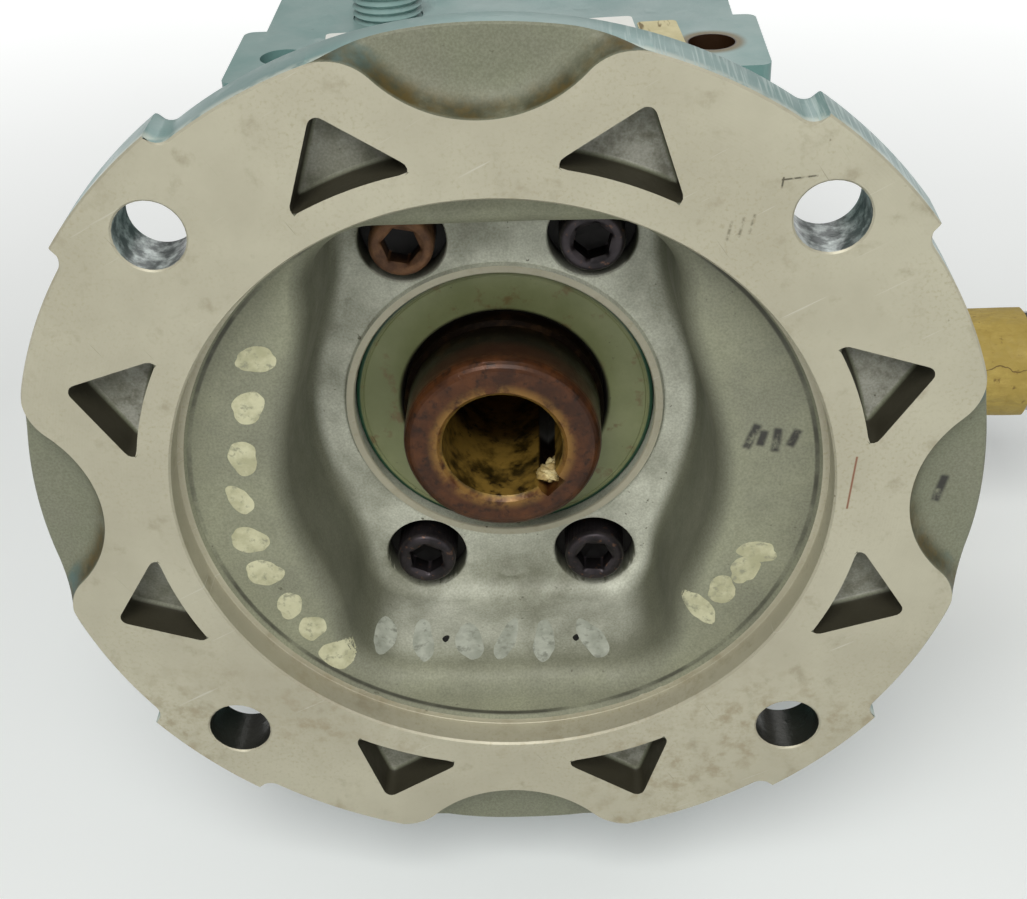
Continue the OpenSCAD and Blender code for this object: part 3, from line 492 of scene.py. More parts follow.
def skin(rows, finish=0):
    """Rings of points, joined each to the next, with their finish number."""
    return np.concatenate(rows), grid_faces(len(rows), len(rows[0])), finish


def make_piece(name, parts, finishes, body="reducer_housing", replaced=(), sharp=32):
    mesh = bpy.data.meshes.new(name)
    points = np.concatenate([p for p, _, _ in parts]) * MM
    faces, finish, start = [], [], 0
    for p, f, m in parts:
        faces += (np.asarray(f) + start).tolist()
        finish += np.broadcast_to(np.asarray(m), len(f)).tolist()
        start += len(p)
    mesh.from_pydata(points.tolist(), [], faces)
    for each in finishes:
        mesh.materials.append(each.material)
    mesh.polygons.foreach_set("material_index", np.array(finish, dtype=np.int32))
    shape = bmesh.new()
    shape.from_mesh(mesh)
    bmesh.ops.remove_doubles(shape, verts=shape.verts, dist=2e-6)
    bmesh.ops.dissolve_degenerate(shape, edges=shape.edges, dist=1e-6)
    bmesh.ops.recalc_face_normals(shape, faces=shape.faces)
    shape.to_mesh(mesh)
    shape.free()
    mesh.shade_smooth()
    mesh.set_sharp_from_angle(angle=math.radians(sharp))
    piece = bpy.data.objects.new(name, mesh)
    scene.collection.objects.link(piece)
    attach(piece, body)
    if replaced:
        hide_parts(*replaced)
    return piece


def new_group(name, result, **inputs):
    """A node group with number inputs and one number out: the group, its inputs by name,
    and a call that takes the output."""
    made = bpy.data.node_groups.new(name, "ShaderNodeTree")
    number = "NodeSocketFloat"
    for label, value in inputs.items():
        made.interface.new_socket(label, in_out="INPUT", socket_type=number).default_value = value
    made.interface.new_socket(result, in_out="OUTPUT", socket_type=number)
    given, out = made.nodes.new("NodeGroupInput").outputs, made.nodes.new("NodeGroupOutput").inputs
    return made, given, lambda socket: made.links.new(socket, out[result])


# Patches: cloudy areas of one size, such as stains, grease and worn paint
patches, given, give = new_group("patches", "Mask", Scale=100, Level=0.5, Softness=0.1, Seed=0, Detail=5)
place = put(patches, "TexCoord", output="Object")
cloud = put(patches, "TexNoise", {"Vector": place, "W": given["Seed"], "Scale": given["Scale"],
                                  "Detail": given["Detail"], "Roughness": 0.6}, noise_dimensions="4D")
low, high = [put(patches, "Math", {0: given["Level"], 1: given["Softness"]}, operation=way)
             for way in ("SUBTRACT", "ADD")]
give(put(patches, "MapRange", {0: cloud, 1: low, 2: high}, interpolation_type="SMOOTHSTEP"))

# Scratches: fine lines in one direction, broken up along their length
SCRATCH_STRETCH = (60, 60, 1600)
scratches, given, give = new_group("scratches", "Mask", Turn=0.4, Amount=0.7, Seed=0, Fineness=1)
place = put(scratches, "TexCoord", output="Object")
place = put(scratches, "VectorRotate", {"Vector": place, "Angle": given["Turn"]}, rotation_type="Y_AXIS")
place = put(scratches, "VectorMath", {0: place, 1: SCRATCH_STRETCH}, operation="MULTIPLY")
line = put(scratches, "TexNoise", {"Vector": place, "W": given["Seed"], "Scale": given["Fineness"],
                                   "Detail": 2.0}, noise_dimensions="4D")
spread = put(scratches, "Math", {0: given["Amount"], 1: 0.05}, operation="ADD")
give(put(scratches, "MapRange", {0: line, 1: given["Amount"], 2: spread}))

# Sand-cast skin: fine grains with a few larger pits
PIT_FROM, PIT_TO, PIT_DEPTH = 0.62, 0.74, -1.2
cast_skin, given, give = new_group("cast_skin", "Height", Grain=900, Pit=260)
place = put(cast_skin, "TexCoord", output="Object")
grain = put(cast_skin, "TexNoise", {"Vector": place, "Scale": given["Grain"], "Detail": 4.0,
                                    "Roughness": 0.65})
pit = put(cast_skin, "TexNoise", {"Vector": place, "Scale": given["Pit"], "Detail": 2.0})
pit = put(cast_skin, "MapRange", {0: pit, 1: PIT_FROM, 2: PIT_TO})
give(put(cast_skin, "Math", {0: pit, 1: PIT_DEPTH, 2: grain}, operation="MULTIPLY_ADD"))

# Machined iron: turned rings, foxing, soiled low down, with marks where it was scribed and rubbed
machined = Finish("machined_iron", Metallic=0.25)
machined.base((38, 0.5, 0.25, 1), (170, 165, 144), (186, 182, 160))
machined.tint((160, 0.64, 0.09, 2), (156, 149, 126))
machined.tint(machined.both((30, 0.5, 0.14, 6), (1400, 0.6, 0.12, 7)), (164, 157, 132))
for turn, amount, seed, colour in ((0.5, 0.68, 3, (190, 187, 170)), (-1.0, 0.71, 8, (150, 145, 125))):
    machined.tint(machined.group(scratches, Turn=turn, Amount=amount, Seed=seed), colour)
machined.tint((480, 0.76, 0.03, 5, 2), (104, 96, 78))
low_down = machined.ramp(machined.along(2), -0.030, -0.050)
machined.tint(machined.both(low_down, (36, 0.5, 0.1, 27), (300, 0.56, 0.12, 28)), (156, 146, 120))
for centre, half_long, turn in (((47.3, 59.4), 2.7, 0.1), ((44.8, 58.7), 0.9, 1.45)):
    scribed = machined.stroke(centre, half_long, 0.14, turn, 0.1)
    machined.tint(machined.both(scribed, (900, 0.42, 0.1, 9)), (84, 80, 64))
for x in (37.2, 39.0, 40.6):
    rubbed = machined.stroke((x, 39.8 + 0.3 * x), 1.7, 0.2, 1.35, 0.2)
    machined.tint(machined.both(rubbed, (800, 0.5, 0.1, 10)), (124, 119, 98))
machined.tint(machined.stroke((59.9, 3.4), 5.4, 0.16, 1.5), (132, 86, 62))
machined.vary("Roughness", (70, 0.5, 0.3, 4), 0.36, 0.56)
turning = {"Vector": machined.place, "Scale": 620.0, "Distortion": 0.6, "Detail": 1.0}
turning = machined.put("TexWave", turning, "Fac", wave_type="RINGS", rings_direction="Y")
machined.raised(turning, 0.22, 0.00002)

# As-cast iron: much lighter deep in the recess, painted light against the shade there; darker
# outside the bowl, with painted shade on the bowl's side walls, dirt and painted shade on the
# pocket walls, rust in the scallops' edges, paint mist at their ends, a thin dark ring by the
# register, smears, and oil with painted shade in the screw counterbores
cast = Finish("cast_iron", Metallic=0.1)
out = cast.from_axis()
# Painted light: surfaces more than 8 to 20 mm behind the face turn much lighter, against the recess's shade
cast.base(cast.ramp(cast.along(1), 0.008, 0.020), (155, 157, 132), (230, 232, 216))
cast.tint(cast.ramp(out, 0.058, 0.061), (129, 133, 110))
# Painted shade: the bowl's sideways-facing walls are darkened
cast.tint(cast.attribute("painted_wall_shade"), (104, 106, 88))
mottled = cast.blend((330, 0.55, 0.14, 20), (196, 196, 184), (136, 136, 120))
cast.tint(cast.attribute("pocket_floor"), mottled)
cast.tint((45, 0.5, 0.25, 11), (128, 129, 111))
cast.tint((2400, 0.5, 0.22, 13, 2), (224, 224, 220), "MULTIPLY")
cast.tint((700, 0.72, 0.04, 14, 2), (100, 99, 82))
cast.tint(cast.stroke((25.0, 69.6), 0.25, 0.22, 0.6, 0.1), (14, 14, 12))
# Dirt and painted shade darken the pockets' walls
cast.tint(cast.attribute("pocket_wall_dirt_and_shade"), (54, 51, 37))
# A thin dark ring on the bowl floor just inside the register
register_dark_ring = cast.both(cast.ramp(out, 0.0546, 0.0550), cast.ramp(out, 0.0557, 0.0554), (60, 0.44, 0.16, 18))
cast.tint(register_dark_ring, (66, 66, 54))
stain = cast.attribute("stain")
browned = cast.blend((420, 0.5, 0.12, 12), (84, 71, 32), (64, 64, 42))
cast.tint(cast.both(stain, (90, 0.38, 0.16, 15)), browned)
mist = cast.both(cast.ramp(out, 0.0775, 0.0815), cast.ramp(stain, 0.05, 0.5), (60, 0.54, 0.08, 19))
cast.tint(mist, (78, 104, 100))
for i, (x, z, half_long) in enumerate(((43.6, 8.6, 2.6), (45.4, 8.2, 1.6), (47.9, 7.8, 2.4),
                                       (50.8, 8.2, 1.9), (76.1, -1.3, 2.8))):
    smear = cast.stroke((x, z), half_long, 0.75, 1.2 + 0.15 * (i % 3), 0.4)
    cast.tint(cast.both(smear, (520, 0.4, 0.12, 16)), (52, 51, 46))
# Oil and painted shade blacken the counterbores round the screws
cast.tint(cast.attribute("counterbore_oil_and_shade"), (22, 20, 17))
cast.vary("Roughness", (240, 0.5, 0.3, 17), 0.5, 0.72)
cast.grain(1500, 420, 0.4, 0.00007)

# Enamel: lighter on faces that look up, a painted sheen, worn bare at the rim's edge and streaked
# on its upper right, with rust round the hole in the front left ear
EAR_HOLE = (0.0395, 0.060, 0)
teal = Finish("teal_enamel", Coat_Roughness=0.25)
teal.base((30, 0.5, 0.25, 21), (98, 132, 129), (116, 152, 147))
teal.tint((170, 0.66, 0.06, 22), (136, 160, 157))
teal.tint((260, 0.72, 0.03, 23), (58, 74, 74))
upwards = teal.put("SeparateXYZ", {0: teal.put("NewGeometry", output="Normal")}, 2)
# Painted sheen: patches of lighter paint on faces that look up
teal.tint(teal.both(teal.ramp(upwards, 0.3, 1.0), (60, 0.45, 0.25, 24), 0.45), (172, 184, 180))
depth = teal.along(1)
teal.tint(teal.both(teal.ramp(depth, 0.0032, 0.0008), (260, 0.44, 0.08, 26)), (184, 194, 182))
teal.tint(teal.both(teal.ramp(depth, 0.012, 0.010), (210, 0.68, 0.04, 27)), (88, 98, 88))
streaks = teal.noise((2300, 70, 2300), Scale=1.0, Detail=2.0)
on_rim = teal.both(teal.ramp(teal.from_axis(), 0.0815, 0.0825), teal.ramp(depth, 0.0115, 0.010))
streaked = teal.both(teal.ramp(teal.along(0), 0.012, 0.03), on_rim, teal.ramp(streaks, 0.5, 0.66))
teal.tint(streaked, (168, 187, 182))
off, on_top = teal.from_axis(2, EAR_HOLE), teal.ramp(teal.along(2), 0.0462, 0.0475)
teal.tint(teal.both(on_top, teal.ramp(off, 0.0068, 0.0050)), (104, 92, 52))
teal.tint(teal.both(on_top, teal.ramp(off, 0.0047, 0.0042)), (44, 26, 14))
teal.vary("Roughness", (110, 0.5, 0.3, 25), 0.26, 0.45)
teal.grain(420, 150, 0.35, 0.00015)

# The bolt holes' walls: oily and mottled, their bright patches partly painted highlights, and dark in the
# lower ones
oily = Finish("oily_wall", Metallic=0.3, Roughness=0.3)
# Mottled oily steel, its bright patches partly painted highlights
oily.base((420, 0.55, 0.16, 31), (84, 90, 88), (204, 212, 208))
oily.tint(oily.ramp(oily.along(2), 0.01, -0.01), (46, 46, 40))
oily.grain(700, 300, 0.6, 0.0002)


def flange_parts():
    """The flange as front, rim, back, hub and hole walls, all from shared rings."""
    ends = np.concatenate([k * QUARTER + np.pi / 4 + s * (LOBE_END - COVE_R / LOBE_R * np.linspace(0, 1, 9))
                           for k in range(4) for s in (-1, 1)]) % (2 * np.pi)
    angles = np.unique(np.round(np.concatenate([around(720), ends]), 7))
    lines = [(polar(outline_radius(angles) - inset, angles), True) for inset in (0, EDGE, 0.8)]
    lines += [(circle(r), True) for r in (*REGISTER[1:, 0], 57.9, 52.5)]
    lines += [(level_line(recess_distance, s, 25, 60), True) for s in (*RECESS[:, 0], -5.2, 5.4)]
    lines += [(circle(r), True) for r in (*HUB[:, 0], 30.9)]
    lines += [(scallop_line(s, k * QUARTER), False) for k in range(4)
              for s in (-0.3, *SCALLOP[:, 0], 6.5, 8.2, 10)]
    lines += [(circle(r, a, b, 48), True) for a, b in SCREWS for r in COUNTERBORE[:3]]
    lines += [(circle(BOLT_R + more, a, b, 64), True) for a, b in BOLTS for more in (0, 0.3, 0.7)]
    outside = lambda x, z: -pocket_distance(x + POCKET_MID[0], z + POCKET_MID[1])
    for s in (-0.25, *POCKET_WALL[:, 0], 1.5):
        one = level_line(outside, -s, 0.2, 14, around(110)) + POCKET_MID
        lines += [(turned(one * [side, 1], k * QUARTER), True) for k in range(4) for side in (-1, 1)]
    gx, gz = [a.ravel() for a in np.meshgrid(*[np.arange(-84, 85, LOOSE_STEP)] * 2)]
    r, s = np.hypot(gx, gz), recess_distance(gx, gz)
    inner = (r < 52) & (r > 31.5) & ((s > 5.8) | ((s < -5.5) & (nearest(gx, gz, SCREWS) > 9)))
    outer = (scallop_distance(gx, gz) > 10.5) & (r < 82)

    def between(hole, inset, spare):
        """Whether a middle lies on the flange: outside the hub's hole, inside the rim and
        clear of the bolt holes."""
        return lambda x, z: ((np.hypot(x, z) < outline_radius(np.arctan2(z, x)) - inset)
                             & (np.hypot(x, z) > hole) & (nearest(x, z, BOLTS) > BOLT_R + spare))

    flat, faces = fill_between(lines, np.stack([gx, gz], 1)[inner | outer], between(28.57, 1e-4, -0.02))
    front = np.insert(flat, 1, flange_depth(*flat.T), axis=1)
    x, _, z = front[faces].mean(1).T
    r = np.hypot(x, z)
    level = (scallop_distance(x, z) < 0) & (pocket_distance(x, z) < 0)
    bright = ((r > 57) & level) | ((r > 55.95) & (r < 57.6)) | (r < HUB[2, 0])
    parts = [(front, faces, np.where(bright, BRIGHT, CAST))]

    ring = front[edge_points(faces)]
    ring = ring[np.hypot(ring[:, 0], ring[:, 2]) > 82]
    ring = ring[np.argsort(np.arctan2(ring[:, 2], ring[:, 0]) % (2 * np.pi))]
    turn = np.arctan2(ring[:, 2], ring[:, 0])
    rows = [ring] + [ring_at(outline_radius(turn) - inset, np.maximum(y, ring[:, 1] + 0.3), turn)
                     for inset, y in RIM_PROFILE]
    parts.append(skin(rows, TEAL))

    lines = [(rows[-1][:, [0, 2]], True), (circle(CUP_R), True)]
    lines += [(circle(BOLT_R + 0.4, a, b, 64), True) for a, b in BOLTS]
    flat, faces = fill_between(lines, np.zeros((0, 2)), between(64.58, 1.6, 0.38))
    parts.append((np.insert(flat, 1, RIM_BACK, axis=1), faces, TEAL))
    for a, b in BOLTS:
        parts.append(skin([ring_at(BOLT_R + more, y, around(64), a, b) for more, y in (
            (0, 0.3), (0, 5.0), (0, RIM_BACK - 0.4), (0.4, RIM_BACK))], OILY))

    cup = np.hypot(*level_line(recess_distance, 7.0, 25, 70).T)
    rows = [ring_at(CUP_R, RIM_BACK)]
    for y in (11.0, 11.7, 12.8, 15, 18, 21, 24, 26, 28, 31, 36, 43.4, 44.1, CUP_END):
        cone = np.interp(y, [RIM_BACK, 11.0, 11.7, 12.8, 24.8, 30], [CUP_R, 63.9, 62.9, 61.9, 45.2, 36])
        inset = np.interp(y, [43.4, 44.1, CUP_END], [0, 0.25, 0.9])
        rows.append(ring_at(-smooth_low(-cup, -np.full(360, cone), 3.0) - inset, y))
    painted = (len(rows) - 1) * 360
    rows += [ring_at(radius, y) for radius, y in (
        (32.52, CUP_END), (32.52, 49), (27.04, 49), (27.04, 42.3), (SEAL_SEAT, 42.3), (SEAL_SEAT, 31.9))]
    parts.append(skin(rows, np.where(np.arange((len(rows) - 1) * 360) < painted, TEAL, CAST)))
    return parts


flange = make_piece("flange_casting", flange_parts(), [machined, cast, teal, oily],
                    replaced=["input_flange"])


def give_attribute(piece, name, values):
    """Stores one number for each point of the piece, for its material to read."""
    piece.data.attributes.new(name, "FLOAT", "POINT").data.foreach_set("value", values.astype(np.float32))


def points_of(piece, kind="co"):
    """The piece's points, or its normals there, as one array."""
    values = np.zeros(len(piece.data.vertices) * 3, np.float32)
    piece.data.vertices.foreach_get(kind, values)
    return values.reshape(-1, 3)


x, y, z = points_of(flange).astype(float).T / MM
outside = np.hypot(x, z) > OUTER_FROM
from_edge = scallop_distance(x, z)
faded = np.exp(-(np.clip(from_edge - 0.6, 0, None) / 1.5) ** 2)
give_attribute(flange, "stain", np.where((y < 8) & outside & (from_edge > 0.05), faded, 0))
# Painted shade on the bowl's sideways-facing walls, stored for the cast iron
sideways = np.clip((np.abs(points_of(flange, "normal")[:, 0]) - 0.25) / 0.5, 0, 1)
in_bowl = (np.hypot(x, z) < 55) & (recess_distance(x, z) > -8) & (y > 7)
give_attribute(flange, "painted_wall_shade", np.where(in_bowl, sideways, 0))
# Oil and painted shade in the screw counterbores
in_hole = 8.01 - nearest(x, z, SCREWS)
counterbore_oil_and_shade_mask = np.where((in_hole > 0) & (y > 30), np.clip(in_hole / 0.02, 0, 1), 0)
give_attribute(flange, "counterbore_oil_and_shade", counterbore_oil_and_shade_mask)
pocket = pocket_distance(x, z)
# The pocket walls, for their dirt and painted shade
on_wall = outside & (y < 8.5) & (pocket > -0.02) & (pocket < 0.5)
give_attribute(flange, "pocket_wall_dirt_and_shade", on_wall.astype(float))
give_attribute(flange, "pocket_floor", (outside & (y < 8) & (pocket > 0.7)).astype(float))


# The flange screws: four socket head cap screws of hardened steel that clamp the flange
# to the housing. Heads are knurled for fingers, blackened, and one has gone rusty.
ROUND, KNURLED, HEXAGON = 0, 1, 2
KNURLS, KNURL_DEPTH = 40, 0.13
SCREW_PROFILE = [
    (0.0, 59.8, ROUND), (3.4, 59.8, ROUND), (3.97, 59.2, ROUND), (3.97, COUNTERBORE_Y, ROUND),
    (5.6, COUNTERBORE_Y, ROUND), (5.9, 37.5, ROUND), (5.95, 37.3, KNURLED), (5.95, 31.3, KNURLED),
    (5.9, 31.1, ROUND), (5.88, 30.9, ROUND), (5.78, 30.4, ROUND), (5.5, 30.05, ROUND), (5.15, 29.89, ROUND),
    (4.9, 29.86, ROUND), (4.2, 29.86, ROUND), (4.05, 29.9, ROUND), (3.2, 30.35, HEXAGON),
    (3.17, 30.5, HEXAGON), (3.17, 33.9, HEXAGON), (2.9, 34.0, HEXAGON), (0.0, 34.5, ROUND)]


def screw_parts(x, z, turn, finish):
    """A screw as rows of points round its axis: the head's side stands in and out for the
    knurl, and the socket's rows follow a hexagon."""
    t = around(120)
    hexagon = 1 / np.cos((t + turn) % (np.pi / 3) - np.pi / 6)
    knurl = KNURL_DEPTH * (np.abs((t * KNURLS / (2 * np.pi)) % 1 - 0.5) > 0.3)
    return skin([ring_at(radius * (hexagon if shape == HEXAGON else 1) - (knurl if shape == KNURLED else 0),
                         y, t, x, z) for radius, y, shape in SCREW_PROFILE], finish)


SCREW_SHADE = (16, 14, 13)
black = Finish("black_steel", Metallic=0.7, Roughness=0.42)
black.base((260, 0.5, 0.2, 41), (38, 35, 37), (66, 60, 63))
black.tint((700, 0.62, 0.05, 42), (104, 78, 64))
# Painted shade in the hex sockets and down the heads' sides
black.tint(black.attribute("hollow"), SCREW_SHADE)
black.grain(1500, 500, 0.35, 0.00006)
rusted = Finish("rusted_steel", Metallic=0.35, Roughness=0.6)
rusted.base((330, 0.5, 0.18, 43), (78, 52, 34), (122, 86, 56))
# Painted shade in the hex socket and down the head's side
rusted.tint(rusted.attribute("hollow"), SCREW_SHADE)
rusted.grain(1500, 500, 0.6, 0.0001)

turns = (0.45, 0.2, 0.05, 0.75)
screws = make_piece("flange_socket_screws", [screw_parts(a, b, turn, int(a < 0 < b))
                                             for (a, b), turn in zip(SCREWS, turns)],
                    [black, rusted], replaced=["flange_screws"], sharp=40)
x, y, z = points_of(screws).astype(float).T / MM
out = nearest(x, z, SCREWS)
# Painted shade inside the hex sockets and down the heads' sides, stored for the screw finishes
in_socket, on_side = np.clip((y - 30.4) / 0.3, 0, 1), np.clip((y - 31.0) / 2.5, 0, 0.85)
give_attribute(screws, "hollow", np.where(out < 3.5, in_socket, np.where(out > 5.6, on_side, 0)))


# The input seal: nitrile rubber moulded round a steel ring, pressed into the hub, with
# its lip on the quill. Its flat face is sunk a little below the hub's machined edge.
SEAL_PROFILE = [
    (19.12, 38.2), (19.16, 36.4), (19.3, 35.1), (19.55, 34.4), (19.9, 33.98), (20.4, 33.8), (26.9, 33.8),
    (27.1, 33.95), (27.3, 33.95), (27.5, 33.8), (27.9, 33.82), (28.3, 34.0), (28.52, 34.5), (28.55, 42.2),
    (21.5, 42.2), (20.4, 41.2), (19.4, 39.6), (19.12, 38.2)]
rubber = Finish("seal_rubber", Roughness=0.42)
rubber.base((70, 0.5, 0.2, 51), (106, 112, 72), (124, 129, 90))
rubber.tint((210, 0.62, 0.06, 52), (104, 92, 58))
rubber.tint((900, 0.7, 0.04, 53), (56, 58, 40))
out = rubber.from_axis()
# Painted shade: a dark green band round the seal's outer edge, where it sits sunk in the hub
rubber.tint(rubber.ramp(out, 0.0275, 0.0279), (18, 60, 40))
# Dark at the inner edge: the black rubber lip, with painted shade where the face dips to it
rubber.tint(rubber.ramp(out, 0.0206, 0.0196), (30, 28, 24))
rubber.grain(1300, 400, 0.25, 0.00006)
make_piece("input_lip_seal", [skin([ring_at(radius, y, around(180)) for radius, y in SEAL_PROFILE])],
           [rubber], replaced=["input_seal"])


# The worm shaft: one steel forging, hollow at the motor end, where bare steel has rusted
# red round the rim, gone black by the seal with grease and painted shade, and yellow-brown in the bore.
worm = Finish("worm_steel")
along, out = worm.along(1), worm.from_axis()
steel = worm.blend((60, 0.5, 0.2, 61), (128, 128, 122), (158, 158, 152))
grease_and_shade = worm.blend((300, 0.6, 0.1, 64), (16, 10, 6), (40, 27, 15))
bore = worm.blend((210, 0.48, 0.12, 65), (48, 38, 12), (140, 112, 50))
bore = worm.blend((420, 0.62, 0.08, 66), bore, (26, 20, 8))
worm.base((170, 0.5, 0.14, 62), (52, 28, 13), (84, 48, 22))
worm.tint((620, 0.6, 0.1, 63), (36, 20, 10))
worm.tint(worm.both(worm.ramp(out, 0.0142, 0.0118), (330, 0.46, 0.1, 68)), (128, 94, 44))
# Deeper brown from 19 mm in, partly the rust's own colour and partly painted shade towards the seal
worm.tint(worm.ramp(along, 0.0190, 0.0222), (50, 25, 15))
# Near black towards the seal: grease with painted shade
worm.tint(worm.ramp(along, 0.0228, 0.0262), grease_and_shade)
worm.tint(worm.ramp(along, 0.0345, 0.0385), steel)
worm.tint(worm.ramp(out, 0.0117, 0.0110), bore)
dull = worm.both(worm.ramp(along, 0.0255, 0.029), worm.ramp(along, 0.0400, 0.0360))
worm.vary("Specular IOR Level", dull, 0.34, 0.04)
worm.feed("Metallic", worm.put("MapRange", {0: along, 1: 0.0345, 2: 0.0385, 3: 0.25, 4: 0.9}))
worm.vary("Roughness", (260, 0.5, 0.3, 67), 0.3, 0.5)
worm.grain(1200, 480, 0.35, 0.00008)
worm.onto("worm_shaft")


# The grit in the keyway: dried packing grease that has caught chips, lying in the
# keyway's mouth and turning with the worm.
WAVE_HEIGHTS, WAVE_COUNTS = (0.16, 0.12, 0.09, 0.06, 0.05), (2.5, 4, 6, 9, 13)


def lump(centre, size, seed, rows=26, columns=40):
    """A closed lump: a sphere's grid with each radius scaled by a sum of waves in three
    directions, flattened by its own size along X, Y and Z."""
    u, v = np.linspace(0, np.pi, rows)[:, None], around(columns)[None, :]
    d = np.stack([np.sin(u) * np.cos(v), np.cos(u) * np.ones_like(v), np.sin(u) * np.sin(v)], -1)
    r = np.random.default_rng(seed)
    wave = sum(a * np.sin((d * k).sum(-1) + c) for a, k, c in
               zip(WAVE_HEIGHTS, r.normal(0, WAVE_COUNTS, (3, 5)).T, r.uniform(0, 6, 5)))
    return skin(np.array(centre) + d * (1 + wave)[..., None] * size)


dried = Finish("dried_grease", Roughness=0.62)
dried.base((420, 0.5, 0.12, 71), (150, 126, 72), (206, 190, 140))
dried.tint((1300, 0.64, 0.06, 72), (86, 62, 30))
dried.grain(1800, 700, 0.7, 0.00015)
lumps = [lump((8.5, 21.0, -8.0), (2.1, 1.9, 1.75), 5), lump((9.1, 24.3, -8.4), (1.2, 2.2, 1.1), 8)]
make_piece("keyway_grit", lumps, [dried], "worm", sharp=60)


# The markings: dabs of a paint marker on the bowl's floor and on the wall under the hub,
# left plain, with two near-black discs of painted shade for the weep holes that let oil drain past them.
BOWL_Y = 6.9
DAB_WAVES = ((0.12, 2), (0.06, 3), (0.03, 5), (0.015, 8))


def wall_height(x, s):
    """Height of the recess wall under the hub at each x: the lowest z where the distance
    outside the recess is s."""
    ends = [np.full(x.shape, end) for end in (25.0, 60.0)]
    return -sum(halved(lambda down: recess_distance(x, -down) > s, *ends)) / 2


def dab(centre, size, turn, seed, on_wall, lift=0.05):
    """A dab as rings of points: an ellipse whose outline waves, laid on the floor, or on
    the wall with y measured along it, and standing up by lift away from its edge."""
    rings, t = np.array([0.02, 0.25, 0.5, 0.75, 0.9, 1.0])[:, None], around(44)[None, :]
    r = np.random.default_rng(seed)
    edge = 1 + sum(a * np.sin(k * t + c) for (a, k), c in zip(DAB_WAVES, r.uniform(0, 6, 4)))
    u, v = rings * edge * size[0] * np.cos(t), rings * edge * size[1] * np.sin(t)
    c, n = math.cos(turn), math.sin(turn)
    a, b = centre[0] + u * c - v * n, centre[1] + u * n + v * c
    up = lift * (1 - rings ** 6) + 0.012 + 0 * t
    if on_wall:
        s = np.interp(b - BOWL_Y, RECESS[:, 1], RECESS[:, 0])
        return skin(np.stack([a, b - 0.3 * up, wall_height(a, s) + up], -1))
    return skin(np.stack([a, flange_depth(a, b) - up, b], -1))


marker = Finish("marker_paint", Roughness=0.5)
marker.base((240, 0.5, 0.15, 81), (168, 166, 132), (200, 198, 164))
marker.tint((700, 0.6, 0.08, 82), (144, 144, 120))
marker.grain(1500, 420, 0.4, 0.00006)
chalk = Finish("chalk_paint", Roughness=0.6)
chalk.base((260, 0.5, 0.15, 84), (160, 164, 150), (190, 194, 180))
chalk.tint((600, 0.58, 0.08, 85), (142, 145, 132))
chalk.grain(1500, 420, 0.4, 0.00006)
shadow = Finish("weep_shadow", Roughness=0.8)
shadow.base((900, 0.5, 0.2, 87), (8, 8, 8), (24, 24, 20))

floor_places = [(-40.4, 26.1), (-43.0, 16.6), (-45.3, 6.2), (-47.1, -2.9), (-46.5, -12.0), (-44.7, -19.5),
                (-40.9, -27.5), (-37.3, -33.2), (-33.0, -40.1), (46.0, -16.4), (43.9, -20.5), (39.9, -25.1),
                (36.0, -29.4)]
floor_dabs = [dab(c, (3.9 - 0.3 * (i % 4), 2.3 + 0.25 * (i % 3)), 0.7 * i, 100 + i, False)
              for i, c in enumerate(floor_places)]
wall_dabs = [dab((x, 16.6 + 0.5 * (i % 2)), (1.9 + 0.3 * (i % 3), 5.6), 0.25 * (i % 3) - 0.2, 130 + i, True)
             for i, x in enumerate((-25.0, -17.5, -8.2, -0.8, 6.6, 16.2))]
# Painted shade: flat near-black discs stand for the weep holes' shaded insides
weep_hole_shade = [dab((x, 17.5), (0.68, 0.95), 0, 150, True, 0.0) for x in (-13.0, 13.0)]
for name, dabs, finish in (("floor_dabs", floor_dabs, marker), ("wall_dabs", wall_dabs, chalk),
                           ("weep_hole_shade", weep_hole_shade, shadow)):
    make_piece(name, dabs, [finish], sharp=60)


# The housing: one iron casting with rounded outside edges, sprayed in blue-green enamel
# over the machined pads and screw heads alike.
def soften(node, piece_name, width):
    """A copy of a CAD casting with its points merged and its outer edges rounded over."""
    piece = nodes[node].copy()
    piece.data = nodes[node].data.copy()
    piece.name = piece.data.name = piece_name
    for key in list(piece.keys()):
        del piece[key]
    piece.parent = None
    scene.collection.objects.link(piece)
    shape = bmesh.new()
    shape.from_mesh(piece.data)
    bmesh.ops.remove_doubles(shape, verts=shape.verts, dist=1e-5)
    bmesh.ops.dissolve_limit(shape, angle_limit=math.radians(0.6), verts=shape.verts, edges=shape.edges)
    shape.to_mesh(piece.data)
    shape.free()
    piece.data.materials.clear()
    piece.data.materials.append(teal.material)
    piece.data.shade_smooth()
    bevel = piece.modifiers.new("rounded_edges", "BEVEL")
    bevel.width, bevel.segments, bevel.limit_method = width * MM, 3, "ANGLE"
    bevel.angle_limit = math.radians(38)
    piece.modifiers.new("even_faces", "WEIGHTED_NORMAL").keep_sharp = False
    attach(piece, "reducer_housing")
    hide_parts(node)


soften("housing", "housing_casting", 1.5)


# The gasket between flange and housing: oiled paper, cut flush with the cup.
gasket = Finish("gasket_paper", Roughness=0.75)
gasket.base((140, 0.5, 0.2, 91), (52, 60, 54), (80, 88, 76))
gasket.grain(1600, 500, 0.3, 0.00005)
gasket.onto("flange_gasket")


# The side cover and rear cap: iron castings that close the wheel's side and the worm's
# far end, machined on the back and sprayed with the housing.
soften("side_cover", "side_cover_casting", 1.2)
soften("rear_cap", "rear_cap_casting", 1.2)
teal.onto("fill_plug", "level_plug", "drain_plug")


